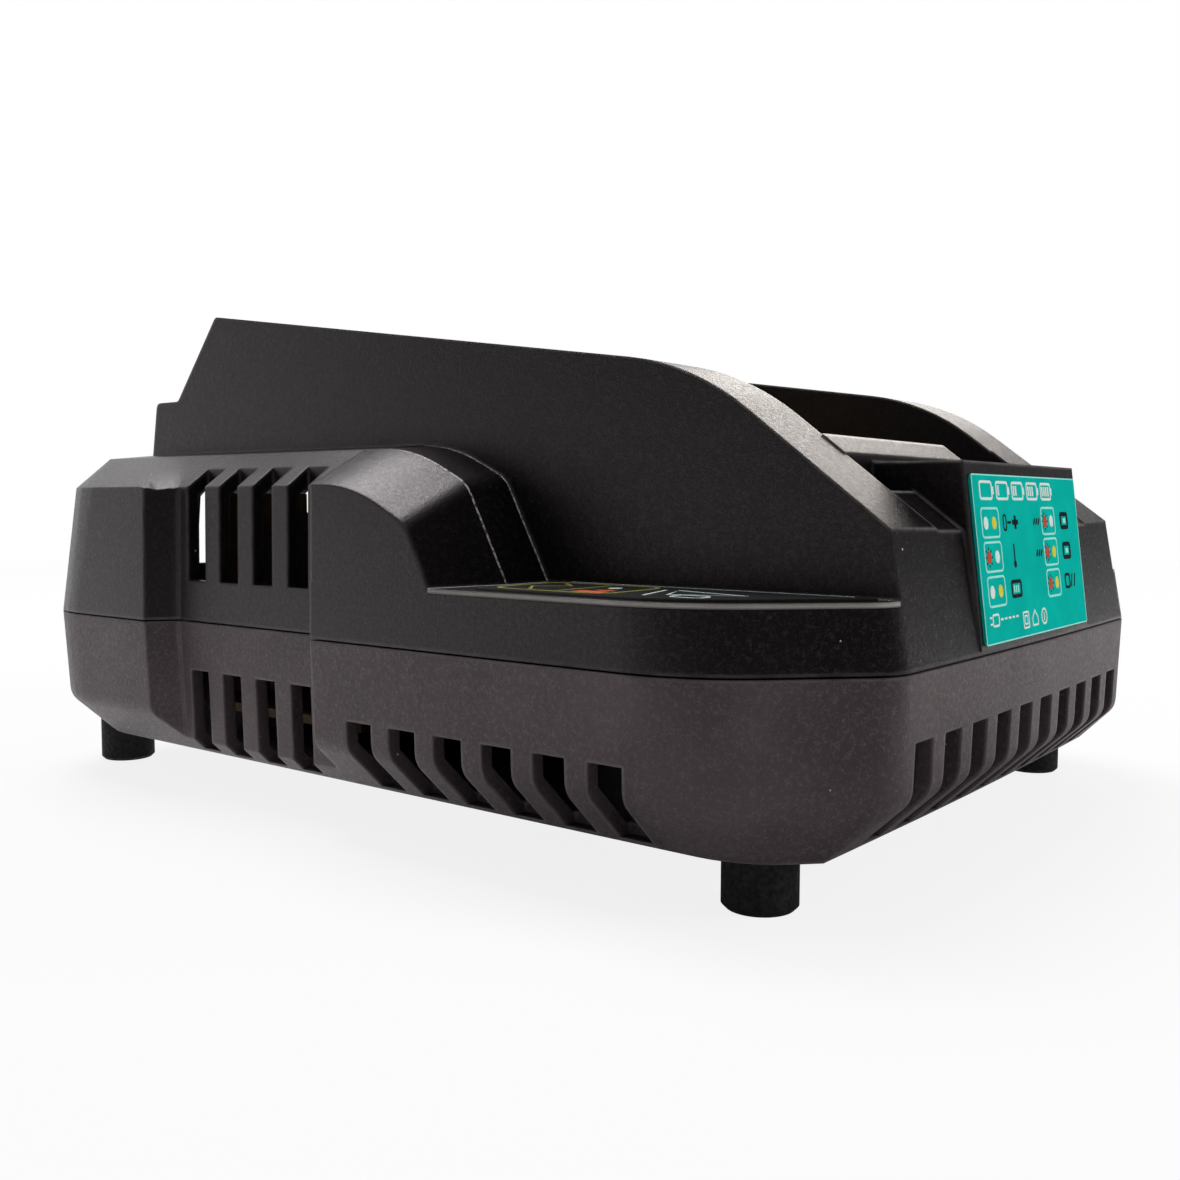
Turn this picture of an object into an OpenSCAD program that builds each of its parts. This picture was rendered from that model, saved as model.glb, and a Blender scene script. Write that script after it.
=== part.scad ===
// Charger for slide-on power tool batteries.
// Two moulded shells hold a mains power supply, a cooling fan and the terminal
// block of a sloping battery bay. The charger stands on four rubber feet at
// z = 0. Inside the modules y runs from the front face (0) to the rear face;
// about_centre() then puts the origin under the middle of the body.

/* [Body] */
// Width of the body across the seam
body_w = 148.4; // [147:0.2:154]
// Length of the body from front to rear
body_l = 192; // [190:1:200]
// Wall of both shells
wall = 2.5; // [2.1:0.1:2.8]
// Height of the underside above the surface it stands on
floor_z = 8; // [6:0.5:10]
// Height of the lower shell
base_h = 25.6; // [24:0.2:27]
// Width and height of the bevel round the underside
base_bevel = 8; // [6:0.5:9]
// Radius between the walls and that bevel
bevel_r = 4; // [1:0.5:5]
// How far the underside's front corners reach past their chamfer's bevel
corner_fill = 5; // [2:0.5:5.5]
// Open line left between the two shells
seam_gap = 0.3; // [0.1:0.05:0.5]
// Clearance between a piece and the seat that it fits in
fit_gap = 0.15; // [0.1:0.05:0.25]

/* [Plan] */
// Run of the front corner's chamfer across the body
corner_w = 20.7; // [18:0.5:22]
// Run of the front corner's chamfer along the body
corner_l = 20; // [16:0.5:22]
// Radius where the chamfer meets the side
corner_side_r = 25; // [10:1:28]
// Radius where the chamfer meets the front
corner_front_r = 8; // [3:0.5:10]
// Radius of the rear corners
rear_corner_r = 23; // [12:1:24]
// Radius of the slightly bowed front face
front_bow_r = 2000; // [1500:50:3000]
// Distance from the front to the sunk vent panels
recess_y = 95.3; // [94:0.5:98]
// Length of the sunk vent panels
recess_l = 45.9; // [44:0.5:47]
// Depth of the sunk vent panels
recess_d = 5.2; // [4:0.2:6]
// Length of the ramp behind each sunk panel
recess_ramp = 3.7; // [3:0.2:6]

/* [Top shell] */
// Height of the side ledges above the seam
ledge_h = 9.8; // [9:0.2:11]
// Lean of the front face, inward per unit of height
front_lean = 0.18; // [0.14:0.01:0.2]
// Height of the edge of the vent blocks above the ledge
block_edge_h = 15.8; // [15:0.2:17]
// Rise of the vent blocks' bevel
block_rise = 6.4; // [5.5:0.2:7]
// Distance from the middle to the top edge of the bevel
block_top_x = 60.1; // [58:0.2:61]
// Rise of the crown from that edge to the tall walls
crown_rise = 1; // [0.6:0.1:1.4]
// Distance from the front to the bend over the vent block's nose
nose_y = 73; // [71:0.5:76]
// Steepness of the nose's front in degrees
nose_angle = 61.5; // [56:0.5:68]
// Fall of the nose's top in degrees
nose_fall = 25.5; // [18:0.5:27]
// Radius of the bend
nose_r = 6; // [2:0.5:8]

/* [Battery bay] */
// Clear width between the tall walls
bay_w = 70.6; // [69:0.2:73]
// Thickness of each hollow tall wall
cheek_w = 15; // [13:0.5:16]
// Slope of the wall tops and of the bay floor in degrees
bay_slope = 8.4; // [7:0.2:9]
// Height of the wall tops' line where it would meet the front face
cheek_z = 71.9; // [70:0.5:74]
// Slope of the walls' front edge in degrees
nose_slope = 37.2; // [35:0.5:39]
// Radius where that edge turns into the wall top
cheek_r = 46; // [30:1:52]
// Distance from the rear face to the back of the wall tops
cheek_back = 37.5; // [34:0.5:40]
// Depth of the bay floor below the wall tops
deck_drop = 16; // [15:0.5:18]
// Height of the level sill behind the bay
sill_z = 78; // [77:0.5:80]
// Length of the guide rails on the walls
rail_l = 70; // [50:1:74]
// Reach of the guide rails into the bay
rail_w = 8; // [6:0.5:9]
// Thickness of the guide rails
rail_t = 4; // [3:0.5:5]
// Distance from the front to the stop bar
stop_y = 18.2; // [17:0.2:20]
// Thickness of the stop bar
stop_t = 3.8; // [3.5:0.1:5]

/* [Label block] */
// Width of the block that carries the front label
block_w = 52.6; // [51:0.2:56]
// Height of the block's top above the surface it stands on
block_z = 62.9; // [62:0.1:64]
// Lean of the label face, inward per unit of height
label_lean = 0.126; // [0.1:0.002:0.13]
// Width of the front label
label_w = 50; // [40:0.5:50.4]
// Height of the front label
label_h = 26; // [20:0.5:26]
// Thickness of both labels
label_t = 0.4; // [0.2:0.1:0.6]

/* [Vents] */
// Distance between neighbouring slots
slot_pitch = 10; // [9.5:0.1:10.2]
// Width of a slot
slot_w = 6; // [4.5:0.25:6.5]
// Number of slots in the front
front_slots = 10; // [6:1:10]
// Height of the front slots' tops above the underside
front_slot_h = 16; // [12:0.5:18]
// Number of slots in each side
side_slots = 6; // [3:1:6]
// Height of the side slots' tops above the underside
side_slot_h = 12.9; // [11:0.5:16]
// Number of slots in each sunk panel
recess_slots = 4; // [2:1:4]
// Width of the slots in the sunk panels
recess_slot_w = 5.6; // [4:0.2:6]
// Number of slots in the rear face
rear_slots = 7; // [3:2:7]
// Distance between neighbouring rear slots
rear_pitch = 10; // [9:0.1:10.4]

/* [Feet and screws] */
// Radius of a foot
foot_r = 5.5; // [4:0.25:6]
// Distance from the body's side to a foot's centre
foot_x = 17.4; // [16.5:0.5:19]
// Distance from the body's front to a front foot's centre
foot_y = 19.6; // [18.5:0.2:21]
// Distance from the body's rear to a rear foot's centre
foot_back = 11.4; // [11:0.2:14]
// Length of a foot inside its socket
foot_grip = 5; // [4:0.5:6]
// Radius of the housing screws' shank
screw_r = 1.5; // [1.2:0.1:1.8]
// Radius of the screw columns
column_r = 4; // [3.6:0.1:4.4]

/* [Circuit board] */
// Distance from the body's side to the main board
board_gap = 22.2; // [21.2:0.2:24]
// Length of the main board
board_l = 122; // [121:0.5:123]
// Thickness of the boards
board_t = 1.6; // [1.2:0.1:2]
// Height of the posts that carry the main board, above the inner floor
post_h = 5.5; // [5:0.5:6]
// Distance from the front to the main board
board_y = 28; // [28:0.25:29]

/* [Fan] */
// Side of the square fan frame
fan_size = 40; // [38:0.5:40]
// Depth of the fan frame
fan_depth = 10; // [9:0.5:10.5]
// Number of blades
fan_blades = 7; // [5:1:9]
// Radius of the rotor's hub
hub_r = 10; // [9:0.25:11]
// Radius of the rotor's shaft
shaft_r = 1; // [0.8:0.1:1.2]

/* [Cord gland] */
// Distance from the middle to the gland
gland_x = 34; // [28:1:36]
// Radius of the gland's body
gland_r = 6; // [5.5:0.25:6.5]
// Radius of the hole for the cord
cord_r = 3.6; // [3:0.1:4.2]

/* [Hidden] */
$fn = 48;
big = 400;
lap = 0.5;

half_w = body_w / 2;
seam_z = floor_z + base_h;
ledge_z = seam_z + ledge_h;
edge_z = ledge_z + block_edge_h;
crown_low = edge_z + block_rise;
crown_z = crown_low + crown_rise;
cheek_in = bay_w / 2;
cheek_out = cheek_in + cheek_w;
root2 = sqrt(2);
degree = 180 / PI;

// ---- Plan outline: vertices, radii and points of each corner's arc ----
bow_angle = 1.2;
bow_crest = front_bow_r * (1 / cos(bow_angle) - 1);
front_end = half_w - corner_w;
step_draft = 0.4;
half_front = [
    [-front_end, front_end * tan(bow_angle) - bow_crest],
    [-half_w, corner_l + 0.8]];
half_plan = concat(half_front, [[-half_w, body_l]]);
half_radii = [corner_front_r, corner_side_r];
half_steps = [5, 6, 8];
front_steps = 5;
// The same with the sunk panels, for the edge of the vent blocks
half_edge = concat(half_front, [
    [-half_w, recess_y],
    [-half_w + recess_d, recess_y + step_draft],
    [-half_w + recess_d, recess_y + recess_l],
    [-half_w, recess_y + recess_l + recess_ramp],
    [-half_w, body_l]]);
step_r = 0.8;
ramp_r = 2;
edge_radii = [corner_front_r, corner_side_r, step_r, step_r, ramp_r, ramp_r];
edge_steps = mirrored_list([5, 6, 1, 1, 2, 2, 8], front_steps);

// Inward lean of each wall per unit of height
side_lean = 0.015;
rear_lean = 0.12;
// Growth of the rear corners' radius per unit of height above the seam
rear_flare = 0.15;
base_side_lean = 0.036;
base_rear_lean = 0.06;

// ---- Places that several pieces share ----
board_w = body_w - 2 * board_gap;
inner_floor = floor_z + wall;
board_z = inner_floor + post_h;
board_top = board_z + board_t;
board_back = board_y + board_l;
post_x = board_w / 2 - 6;
post_y = [board_y + 6, board_back - 10];
post_r = 4;
board_screw_r = 1.2;
side_slot_back = recess_y - 8;
recess_slot_back = recess_y + recess_l - 3.2;
front_slot_x = -(front_slots - 1) * slot_pitch / 2 - slot_w / 2;
foot_pos = half_w - foot_x;
column_x = [half_w - 16.2, half_w - 14.2];
column_y = [31, body_l - 26];
deck_start = cheek_z - deck_drop;
slope = tan(bay_slope);
cheek_end = body_l - cheek_back;
sill_end = body_l - 15.4;
sill_foot = body_l - 13.4;

fan_y = recess_y + recess_l / 2 + 1.5;
fan_x1 = half_w - recess_d - wall - 0.9;
fan_x0 = fan_x1 - fan_depth;
fan_bottom = floor_z + base_bevel + wall * (root2 - 1) + 0.7;
fan_z = fan_bottom + fan_size / 2;
fan_post_l = 3;

screw_seat = floor_z + 4;
gland_z = floor_z + 16;
gland_seat = body_l - 6;
gland_flange_r = gland_r + 2.5;

function deck_z(y) = deck_start + slope * y;
function cheek_top(y) = cheek_z + slope * y;
function front_slope_z(y) = 53 + tan(nose_slope) * (y - 4);
terminal_y = 79;
terminal_w = 28;
terminal_l = 26;
terminal_h = 5.5;
terminal_low = deck_z(terminal_y) - 11;

// ---- Plane geometry ----
function unit(v) = v / norm(v);
function side_normal(a, b) = let (d = unit(b - a)) [d.y, -d.x];
function mirrored_list(half, first) =
    concat([first], half, [for (i = [len(half) - 1:-1:0]) half[i]]);
function mirrored_points(half, first) =
    concat([first], half, [for (i = [len(half) - 1:-1:0]) [-half[i].x, half[i].y]]);
function around(half, rear) =
    concat(half, [rear], [for (i = [len(half) - 1:-1:0]) half[i]]);
// A clockwise loop with each edge moved inward by its own distance
function moved(loop, d) = let (n = len(loop)) [for (i = [0:n - 1])
    let (
        a = side_normal(loop[(i + n - 1) % n], loop[i]),
        b = side_normal(loop[i], loop[(i + 1) % n]),
        da = d[(i + n - 1) % n],
        db = d[i],
        det = a.x * b.y - a.y * b.x)
    loop[i] + [da * b.y - db * a.y, a.x * db - b.x * da] / det];
// Radius of an arc that leaves a corner's sides at the distance run from it
function radius_for(p0, p1, p2, run) =
    run * tan(acos(min(1, max(-1, unit(p0 - p1) * unit(p2 - p1)))) / 2);
// The points of one rounded corner; a corner that turns outward grows with an inset
function corner(p0, p1, p2, r, inset, n) =
    let (
        u = unit(p0 - p1),
        v = unit(p2 - p1),
        outward = u.x * v.y - u.y * v.x > 0,
        q = max(outward ? r - inset : r + inset, 0.3),
        half = acos(u * v) / 2,
        c = p1 + unit(u + v) * q / sin(half),
        s = p1 + u * q / tan(half) - c,
        e = p1 + v * q / tan(half) - c,
        a = atan2(s.y, s.x),
        turn = atan2(s.x * e.y - s.y * e.x, s * e))
    [for (k = [0:n]) c + q * [cos(a + turn * k / n), sin(a + turn * k / n)]];
function rounded(loop, radii, steps, inset = 0) = let (n = len(loop)) [for (i = [0:n - 1])
    each radii[i] == 0 ? [loop[i]]
        : corner(loop[(i + n - 1) % n], loop[i], loop[(i + 1) % n], radii[i], inset, steps[i])];
function lifted(points, z) = [for (p = points) [p.x, p.y, z]];
// Moves of the edges of half an outline: front, chamfer and the rest, and the rear
function edge_moves(half, front, chamfer, side, rear) =
    around([front, chamfer, each [for (i = [3:len(half)]) side]], rear);

// Radii of half an outline at height z with the rear corner's added
function with_rear(half, z) = concat(half, [rear_corner_r + rear_flare * max(0, z - seam_z)]);
// The plan outline at height z, moved in by t
function plan_ring(z, d, t) = lifted(rounded(
    moved(mirrored_points(half_plan, [0, -bow_crest]), d),
    mirrored_list(with_rear(half_radii, z), front_bow_r),
    mirrored_list(half_steps, front_steps), t), z);
function top_moves(half, z, t) = let (h = z - seam_z)
    edge_moves(half, t + front_lean * h, t + front_lean * 0.67 * h, t + side_lean * h,
        t + rear_lean * h);
function top_ring(z, t) = plan_ring(z, top_moves(half_plan, z, t), t);
function base_ring(z, t, fill = 0) = let (side = t + base_side_lean * (seam_z - z)) plan_ring(
    z, edge_moves(half_plan, side, side - fill, side, t + base_rear_lean * (seam_z - z)), t);
// The vent blocks' lower edge
function edge_ring(z, t) = lifted(rounded(
    moved(mirrored_points(half_edge, [0, -bow_crest]), top_moves(half_edge, z, t)),
    mirrored_list(with_rear(edge_radii, z), front_bow_r), edge_steps, t), z);
// The vent blocks' edges above the bevel, x from the middle to the side
function crown_ring(z, x, rear) = let (
        half = [[-x * 0.7, nose_y - 9], [-x, nose_y - 1], [-x, recess_y + 0.7],
            [-x + 0.15, recess_y + 2], [-x + 0.15, recess_y + recess_l + 8],
            [-x, recess_y + recess_l + 21.9], [-x, rear]],
        loop = mirrored_points(half, [0, nose_y - 9.4]),
        runs = mirrored_list([2, 2, 0.5, 0.5, 3, 3, 3], 10),
        n = len(loop),
        radii = [for (i = [0:n - 1])
            radius_for(loop[(i + n - 1) % n], loop[i], loop[(i + 1) % n], runs[i])])
    lifted(rounded(loop, radii, edge_steps), z);
// Plan of one sunk panel's hollow, grown by t and moved in by lean
function recess_ring(z, t, lean) = let (
        reach = 9,
        ramp = recess_ramp / recess_d,
        back = recess_y + recess_l + t * norm([1, ramp]),
        loop = [
            [-half_w - reach, recess_y - t],
            [-half_w - reach, back + ramp * (recess_d + reach)],
            [-half_w + recess_d + t + lean, back - ramp * (t + lean)],
            [-half_w + recess_d + t + lean, recess_y - t + step_draft]])
    lifted(rounded(loop, [0, 0, ramp_r, step_r], [0, 0, 3, 2]), z);

// Triangles that close a ring of n points, in strips between the points i and pair - i
function cap(n, pair) = let (a = ceil(pair / 2), b = floor(pair / 2))
    [for (k = [0:floor((n - pair % 2) / 2) - 1])
        for (t = [[b - k - 1, b - k, a + k], [b - k - 1, a + k, a + k + 1]])
            let (t = [for (i = t) (i + n) % n])
            if (t[0] != t[1] && t[1] != t[2] && t[0] != t[2]) t];

// A solid through rings of equal count, each clockwise as seen from the last one
module loft(rings, pair) {
    n = len(rings[0]);
    m = len(rings);
    sides = [for (j = [0:m - 2]) for (i = [0:n - 1]) let (k = (i + 1) % n)
        each [[j * n + i, j * n + k, (j + 1) * n + k], [j * n + i, (j + 1) * n + k, (j + 1) * n + i]]];
    top = cap(n, pair);
    polyhedron([for (r = rings) each r],
        concat(sides, [for (t = top) [t[2], t[1], t[0]]], [for (t = top) t + (m - 1) * [n, n, n]]),
        convexity = 6);
}

// A profile in y and z, drawn out along x
module slab(x0, x1, points) {
    translate([x0, 0, 0]) rotate([90, 0, 90]) linear_extrude(x1 - x0) polygon(points);
}

module block(low, high) translate(low) cube(high - low);
module both_sides() {
    children();
    mirror([1, 0, 0]) children();
}
module about_centre() translate([0, -body_l / 2, 0]) children();
module along_y(p, r, l) translate(p) rotate([-90, 0, 0]) cylinder(h = l, r = r);
module along_x(p, r, l) translate(p) rotate([0, 90, 0]) cylinder(h = l, r = r);
module along_z(x, y, z0, z1, r) translate([x, y, z0]) cylinder(h = z1 - z0, r = r);

// The hollows of both sunk panels, with a lean per unit of height
module recesses(t, low, high, lean) both_sides()
    loft([for (z = [low, high]) recess_ring(z, t, lean * (z - seam_z))], 1);

// ---- Lower shell ----
module base_form(t) difference() {
    skin = t * (root2 - 1);
    bevel_z = floor_z + base_bevel;
    fill = corner_fill * (1 - t / base_bevel);
    run = bevel_r * tan(22.5);
    loft(concat(
        [base_ring(floor_z + t, base_bevel + skin, fill)],
        t > 0 ? [base_ring(bevel_z + skin, t)]
            : [for (a = [45:-11.25:0]) base_ring(bevel_z + run - bevel_r * sin(a),
                bevel_r * (1 - cos(a)), fill * bevel_r * (1 - cos(a)) / base_bevel)],
        [base_ring(seam_z, t)],
        t > 0 ? [base_ring(seam_z + lap, t)] : []), front_steps);
    recesses(t, 0, seam_z + 2 * lap, -base_side_lean);
}

// Upright rim inside the seam that the top shell drops over, left out at the sunk panels
module seam_tongue() {
    tongue_h = 2;
    tongue_t = 1.4;
    out = wall + fit_gap;
    difference() {
        loft([
            base_ring(seam_z - 4, wall - lap),
            base_ring(seam_z - 1, wall - lap),
            base_ring(seam_z - 0.5, out),
            top_ring(seam_z + tongue_h, out)], front_steps);
        loft([
            base_ring(seam_z - 4 - lap, wall - lap - 0.1),
            base_ring(seam_z - 3, out + tongue_t),
            top_ring(seam_z + tongue_h + lap, out + tongue_t)], front_steps);
        both_sides() block([-half_w, recess_y - out - tongue_t - 1, 0],
            [-half_w + recess_d + out + tongue_t + 1, recess_y + recess_l + recess_ramp + out, big]);
    }
}

slot_sill = 0.8;
module base_slots() {
    reach = base_bevel + 4;
    low = floor_z + slot_sill;
    for (i = [0:front_slots - 1])
        block([front_slot_x + i * slot_pitch, -lap * 4, low],
            [front_slot_x + i * slot_pitch + slot_w, reach - 1, floor_z + front_slot_h]);
    both_sides() for (i = [0:side_slots - 1])
        block([-half_w - 1, side_slot_back - i * slot_pitch - slot_w, low],
            [-half_w + reach - 1.5, side_slot_back - i * slot_pitch, floor_z + side_slot_h]);
    both_sides() for (i = [0:recess_slots - 1])
        block([-half_w - 1, recess_slot_back - i * slot_pitch - recess_slot_w, low],
            [-half_w + reach - 1.5, recess_slot_back - i * slot_pitch,
                floor_z + side_slot_h + 3.5]);
}

// Posts that hold the fan's frame by its bottom corners
module fan_posts() {
    lip = 1.5;
    for (y = [fan_y - fan_size / 2 - 1, fan_y + fan_size / 2 + 1 - fan_post_l]) {
        block([fan_x0 - fit_gap - lip, y, floor_z + 1], [fan_x1 + 2, y + fan_post_l, fan_bottom]);
        block([fan_x0 - fit_gap - lip, y, floor_z + 1],
            [fan_x0 - fit_gap, y + fan_post_l, fan_bottom + 8]);
    }
}

module base_shell() color("#26242a") about_centre() difference() {
    union() {
        difference() {
            base_form(0);
            base_form(wall);
        }
        seam_tongue();
        intersection() {
            base_form(wall / 2);
            union() {
                both_sides() for (y = [foot_y, body_l - foot_back])
                    along_z(-foot_pos, y, floor_z, floor_z + foot_grip + 2, foot_r + 2);
                both_sides() for (i = [0, 1])
                    along_z(-column_x[i], column_y[i], floor_z, seam_z - 1, column_r);
                for (x = [-post_x, post_x], y = post_y)
                    along_z(x, y, floor_z, board_z, post_r);
                along_y([gland_x, gland_seat, gland_z], gland_flange_r + 0.5, body_l);
                fan_posts();
            }
        }
    }
    base_slots();
    both_sides() for (y = [foot_y, body_l - foot_back])
        along_z(-foot_pos, y, floor_z - big, floor_z + foot_grip, foot_r + 0.05);
    both_sides() for (i = [0, 1]) {
        along_z(-column_x[i], column_y[i], floor_z - 1, seam_z, screw_r + 0.25);
        along_z(-column_x[i], column_y[i], floor_z - 1, screw_seat, column_r - 1);
    }
    for (x = [-post_x, post_x], y = post_y)
        along_z(x, y, inner_floor, board_z + 1, board_screw_r + 0.05);
    along_y([gland_x, gland_seat - 1, gland_z], gland_r + 0.05, body_l);
}

// ---- Upper shell ----
tall_z = 98;
nose_top_y = recess_y - 9.7;
nose_top_r = 32;
// Everything inside the leaning walls of the top shell, moved in by t
module tall_form(t) difference() {
    loft(concat(
        t > 0 ? [top_ring(seam_z - lap, t)] : [],
        [top_ring(seam_z + seam_gap, t), top_ring(tall_z, t)]), front_steps);
    recesses(t, seam_z - 2 * lap, tall_z + 1, side_lean);
}

// Roof of both vent blocks: the bevel, carried out past the walls, and the crown
module block_roof(t) {
    edge = edge_ring(edge_z - 0.6 * t, t);
    crown = crown_ring(crown_low - 1.1 * t, block_top_x - 0.25 * t, body_l - 10.4 - t);
    bevel = [for (f = [-0.4, 0.2, 0.45, 0.7]) [for (i = [0:len(edge) - 1])
        edge[i] + (crown[i] - edge[i]) * f]];
    skirt = [for (p = bevel[0]) [p.x, p.y, seam_z - 2]];
    intersection() {
        loft([skirt, each bevel, crown, crown_ring(crown_z - 1.05 * t, cheek_out, body_l - 10.8 - t)],
            front_steps);
        block([-big, recess_y - 2.5, 0], [big, big, big]);
    }
}

// The nose in front of each vent block: a top that falls to a bend and a steep front. The
// profile at x has its top as far below the crown as drop; all of its lines keep their slopes.
function nose_ring(x, drop, rear, t) = let (
        high = crown_z - drop,
        low = ledge_z - lap - t,
        top = [nose_top_y, high - 1.1 * t],
        bend = [nose_y + 0.7 * t, high - (nose_top_y - nose_y) * tan(nose_fall) - 0.8 * t],
        end = [bend.x - (bend.y - low) / tan(nose_angle), low])
    [for (p = concat([[rear, low], [rear, top.y]],
            corner([rear, top.y], top, bend, nose_top_r, 1.1 * t, 6),
            corner(top, bend, end, nose_r, t, 5), [end])) [x, p.x, p.y]];

module nose_form(t) loft([
    nose_ring(-cheek_out + (t > 0 ? 0 : 2), 0, recess_y + 2, t),
    nose_ring(-block_top_x + 0.25 * t, crown_rise, recess_y + 2, t),
    nose_ring(-half_w - 1, crown_rise + block_rise * 1.08, recess_y - 0.1, t)], 1);

// Side profile of the tall walls, moved in by d
function cheek_profile(d) =
    let (
        knee_y = (cheek_z - 53 + 4 * tan(nose_slope)) / (tan(nose_slope) - slope),
        loop = [
            [-8, seam_z + seam_gap], [-8, front_slope_z(-8)], [knee_y, cheek_top(knee_y)],
            [cheek_end, cheek_top(cheek_end)], [body_l - 23.4, sill_z], [sill_end, sill_z],
            [sill_foot, crown_z], [sill_foot, seam_z + seam_gap]],
        inner = moved(loop, [0, d, d, d, d, d, d, d > 0 ? -lap : 0]))
    rounded(inner, [0, 0, cheek_r, 1.2, 1.2, 1.2, 0, 0], [0, 0, 8, 2, 2, 2, 0, 0], d);

// Floor of the bay with its stop bar and sill, moved down by d
function deck_profile(d) = [
    [stop_y + d, d > 0 ? seam_z : ledge_z - 1], [stop_y + d, d > 0 ? deck_z(stop_y) - d : stop_z],
    [stop_y + stop_t, d > 0 ? deck_z(stop_y + stop_t) - d : stop_z + stop_t * tan(nose_slope)],
    [stop_y + stop_t, deck_z(stop_y + stop_t) - d],
    [sill_start, sill_z - d], [sill_end - d, sill_z - d], [sill_foot - d, crown_z - d],
    [sill_foot - d, d > 0 ? seam_z : ledge_z - 1]];
stop_z = 64.1;
stop_high_x = 11;
sill_start = (sill_z - deck_start) / slope;
pocket_y = 11.4;
pocket_floor = ledge_z + 3.6;
label_foot_z = 34.5;
label_face_y = 0.15;

function label_face(z) = label_face_y + (z - label_foot_z) * label_lean;
rim_drop = 0.3;
function rim_z(y, d) = front_slope_z(y) - rim_drop - d / cos(nose_slope);
function front_profile(d) = [
    [-8, seam_z + seam_gap], [-8, rim_z(-8, d)],
    [pocket_y - d, rim_z(pocket_y - d, d)], [pocket_y - d, pocket_floor - d],
    [stop_y + 1, pocket_floor - d], [stop_y + 1, seam_z + seam_gap]];
function block_profile(d) = [
    [label_face(label_foot_z) + d, label_foot_z], [label_face(block_z - d) + d, block_z - d],
    [stop_y + (d > 0 ? -d : 1), block_z - d], [stop_y + (d > 0 ? -d : 1), label_foot_z]];

module guide_rails() {
    rail_low = deck_drop - rail_t - 1.2;
    rail_end = cheek_end - 4.5;
    both_sides() slab(-cheek_in - lap, -cheek_in + rail_w, [
        [rail_end - rail_l, deck_z(rail_end - rail_l) + rail_low],
        [rail_end - rail_l, deck_z(rail_end - rail_l) + rail_low + rail_t],
        [rail_end, deck_z(rail_end) + rail_low + rail_t],
        [rail_end, deck_z(rail_end) + rail_low]]);
}

module top_outside() {
    intersection() {
        tall_form(0);
        union() {
            block([-big, -big, 0], [big, big, ledge_z]);
            block_roof(0);
            both_sides() nose_form(0);
            both_sides() slab(-cheek_out, -cheek_in, cheek_profile(0));
            slab(-cheek_in - lap, cheek_in + lap, front_profile(0));
            slab(-cheek_in - lap, cheek_in + lap, deck_profile(0));
        }
    }
    slab(-block_w / 2, block_w / 2, block_profile(0));
    guide_rails();
}

module top_inside() {
    cheek_cut = cheek_w - 2 * wall;
    intersection() {
        tall_form(wall);
        union() {
            block([-big, -big, 0], [big, big, ledge_z - wall]);
            block_roof(wall);
            both_sides() nose_form(wall);
            both_sides() slab(-cheek_in - wall - cheek_cut, -cheek_in - wall, cheek_profile(wall));
            slab(-cheek_in - wall - lap, cheek_in + wall + lap, front_profile(wall));
            slab(-cheek_in - wall - lap, cheek_in + wall + lap, deck_profile(wall));
        }
    }
    slab(-block_w / 2 + wall, block_w / 2 - wall, block_profile(wall));
}

module top_slots() {
    slot_low = ledge_z - 1.9;
    both_sides() for (i = [0:recess_slots - 1])
        block([-half_w - 1, recess_slot_back - i * slot_pitch - recess_slot_w, slot_low],
            [-block_top_x - 3.9, recess_slot_back - i * slot_pitch, crown_z + 5]);
    for (i = [0:rear_slots - 1])
        block([(i - (rear_slots - 1) / 2) * rear_pitch - slot_w / 2, body_l - 9, ledge_z - 1.6],
            [(i - (rear_slots - 1) / 2) * rear_pitch + slot_w / 2, body_l + 3, edge_z]);
}

block_opening = [terminal_w / 2 + fit_gap, terminal_l / 2 + fit_gap];
pipe_x = half_w - 12;
pipe_y = [46, 54];
pipe_r = 1.5;
indicator_z = ledge_z - wall - 4;
screw_depth = 8;

module top_shell() color("#1f1d22") about_centre() difference() {
    union() {
        difference() {
            top_outside();
            top_inside();
            top_slots();
        }
        intersection() {
            tall_form(wall / 2);
            union() {
                block([-big, 0, 0], [big, recess_y, ledge_z - wall / 2]);
                block_roof(wall / 2);
            }
            union() {
                both_sides() for (i = [0, 1])
                    along_z(-column_x[i], column_y[i], seam_z - 1 + seam_gap, crown_z, column_r);
                for (k = [1, 3]) let (y = recess_slot_back - k * slot_pitch)
                    block([fan_x0, y + 1, fan_z + fan_size / 2 + fit_gap],
                        [fan_x1, y + slot_pitch - recess_slot_w - 1, crown_z]);
            }
        }
        for (y = [pipe_y[0] - 5, pipe_y[1] + 5])
            along_z(-pipe_x, y, indicator_z, ledge_z - wall + lap, 2.5);
    }
    // Pockets beside the label block, and the low part of the stop bar
    both_sides() block([-cheek_in, pocket_y, pocket_floor], [-block_w / 2, stop_y, cheek_z + 10]);
    block([stop_high_x, stop_y, 60], [cheek_in, stop_y + stop_t + lap, cheek_z]);
    // Opening for the terminal block, holes for the light pipes and screws
    block([-block_opening.x, terminal_y - block_opening.y, ledge_z],
        [block_opening.x, terminal_y + block_opening.y, cheek_z + 20]);
    for (y = pipe_y) along_z(-pipe_x, y, ledge_z - wall - 1, ledge_z + 1, pipe_r + 0.05);
    both_sides() for (i = [0, 1])
        along_z(-column_x[i], column_y[i], seam_z - 2, seam_z - 1 + seam_gap + screw_depth,
            screw_r + 0.05);
}

// ---- Feet, labels and indicators ----
module foot(x, y) color("#111111") about_centre() {
    along_z(x, y, 0.6, floor_z + foot_grip, foot_r);
    translate([x, y, 0]) cylinder(h = 0.6, r1 = foot_r - 0.6, r2 = foot_r);
}
module foot_front_left() foot(-foot_pos, foot_y);
module foot_front_right() foot(foot_pos, foot_y);
module foot_rear_left() foot(-foot_pos, body_l - foot_back);
module foot_rear_right() foot(foot_pos, body_l - foot_back);

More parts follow.
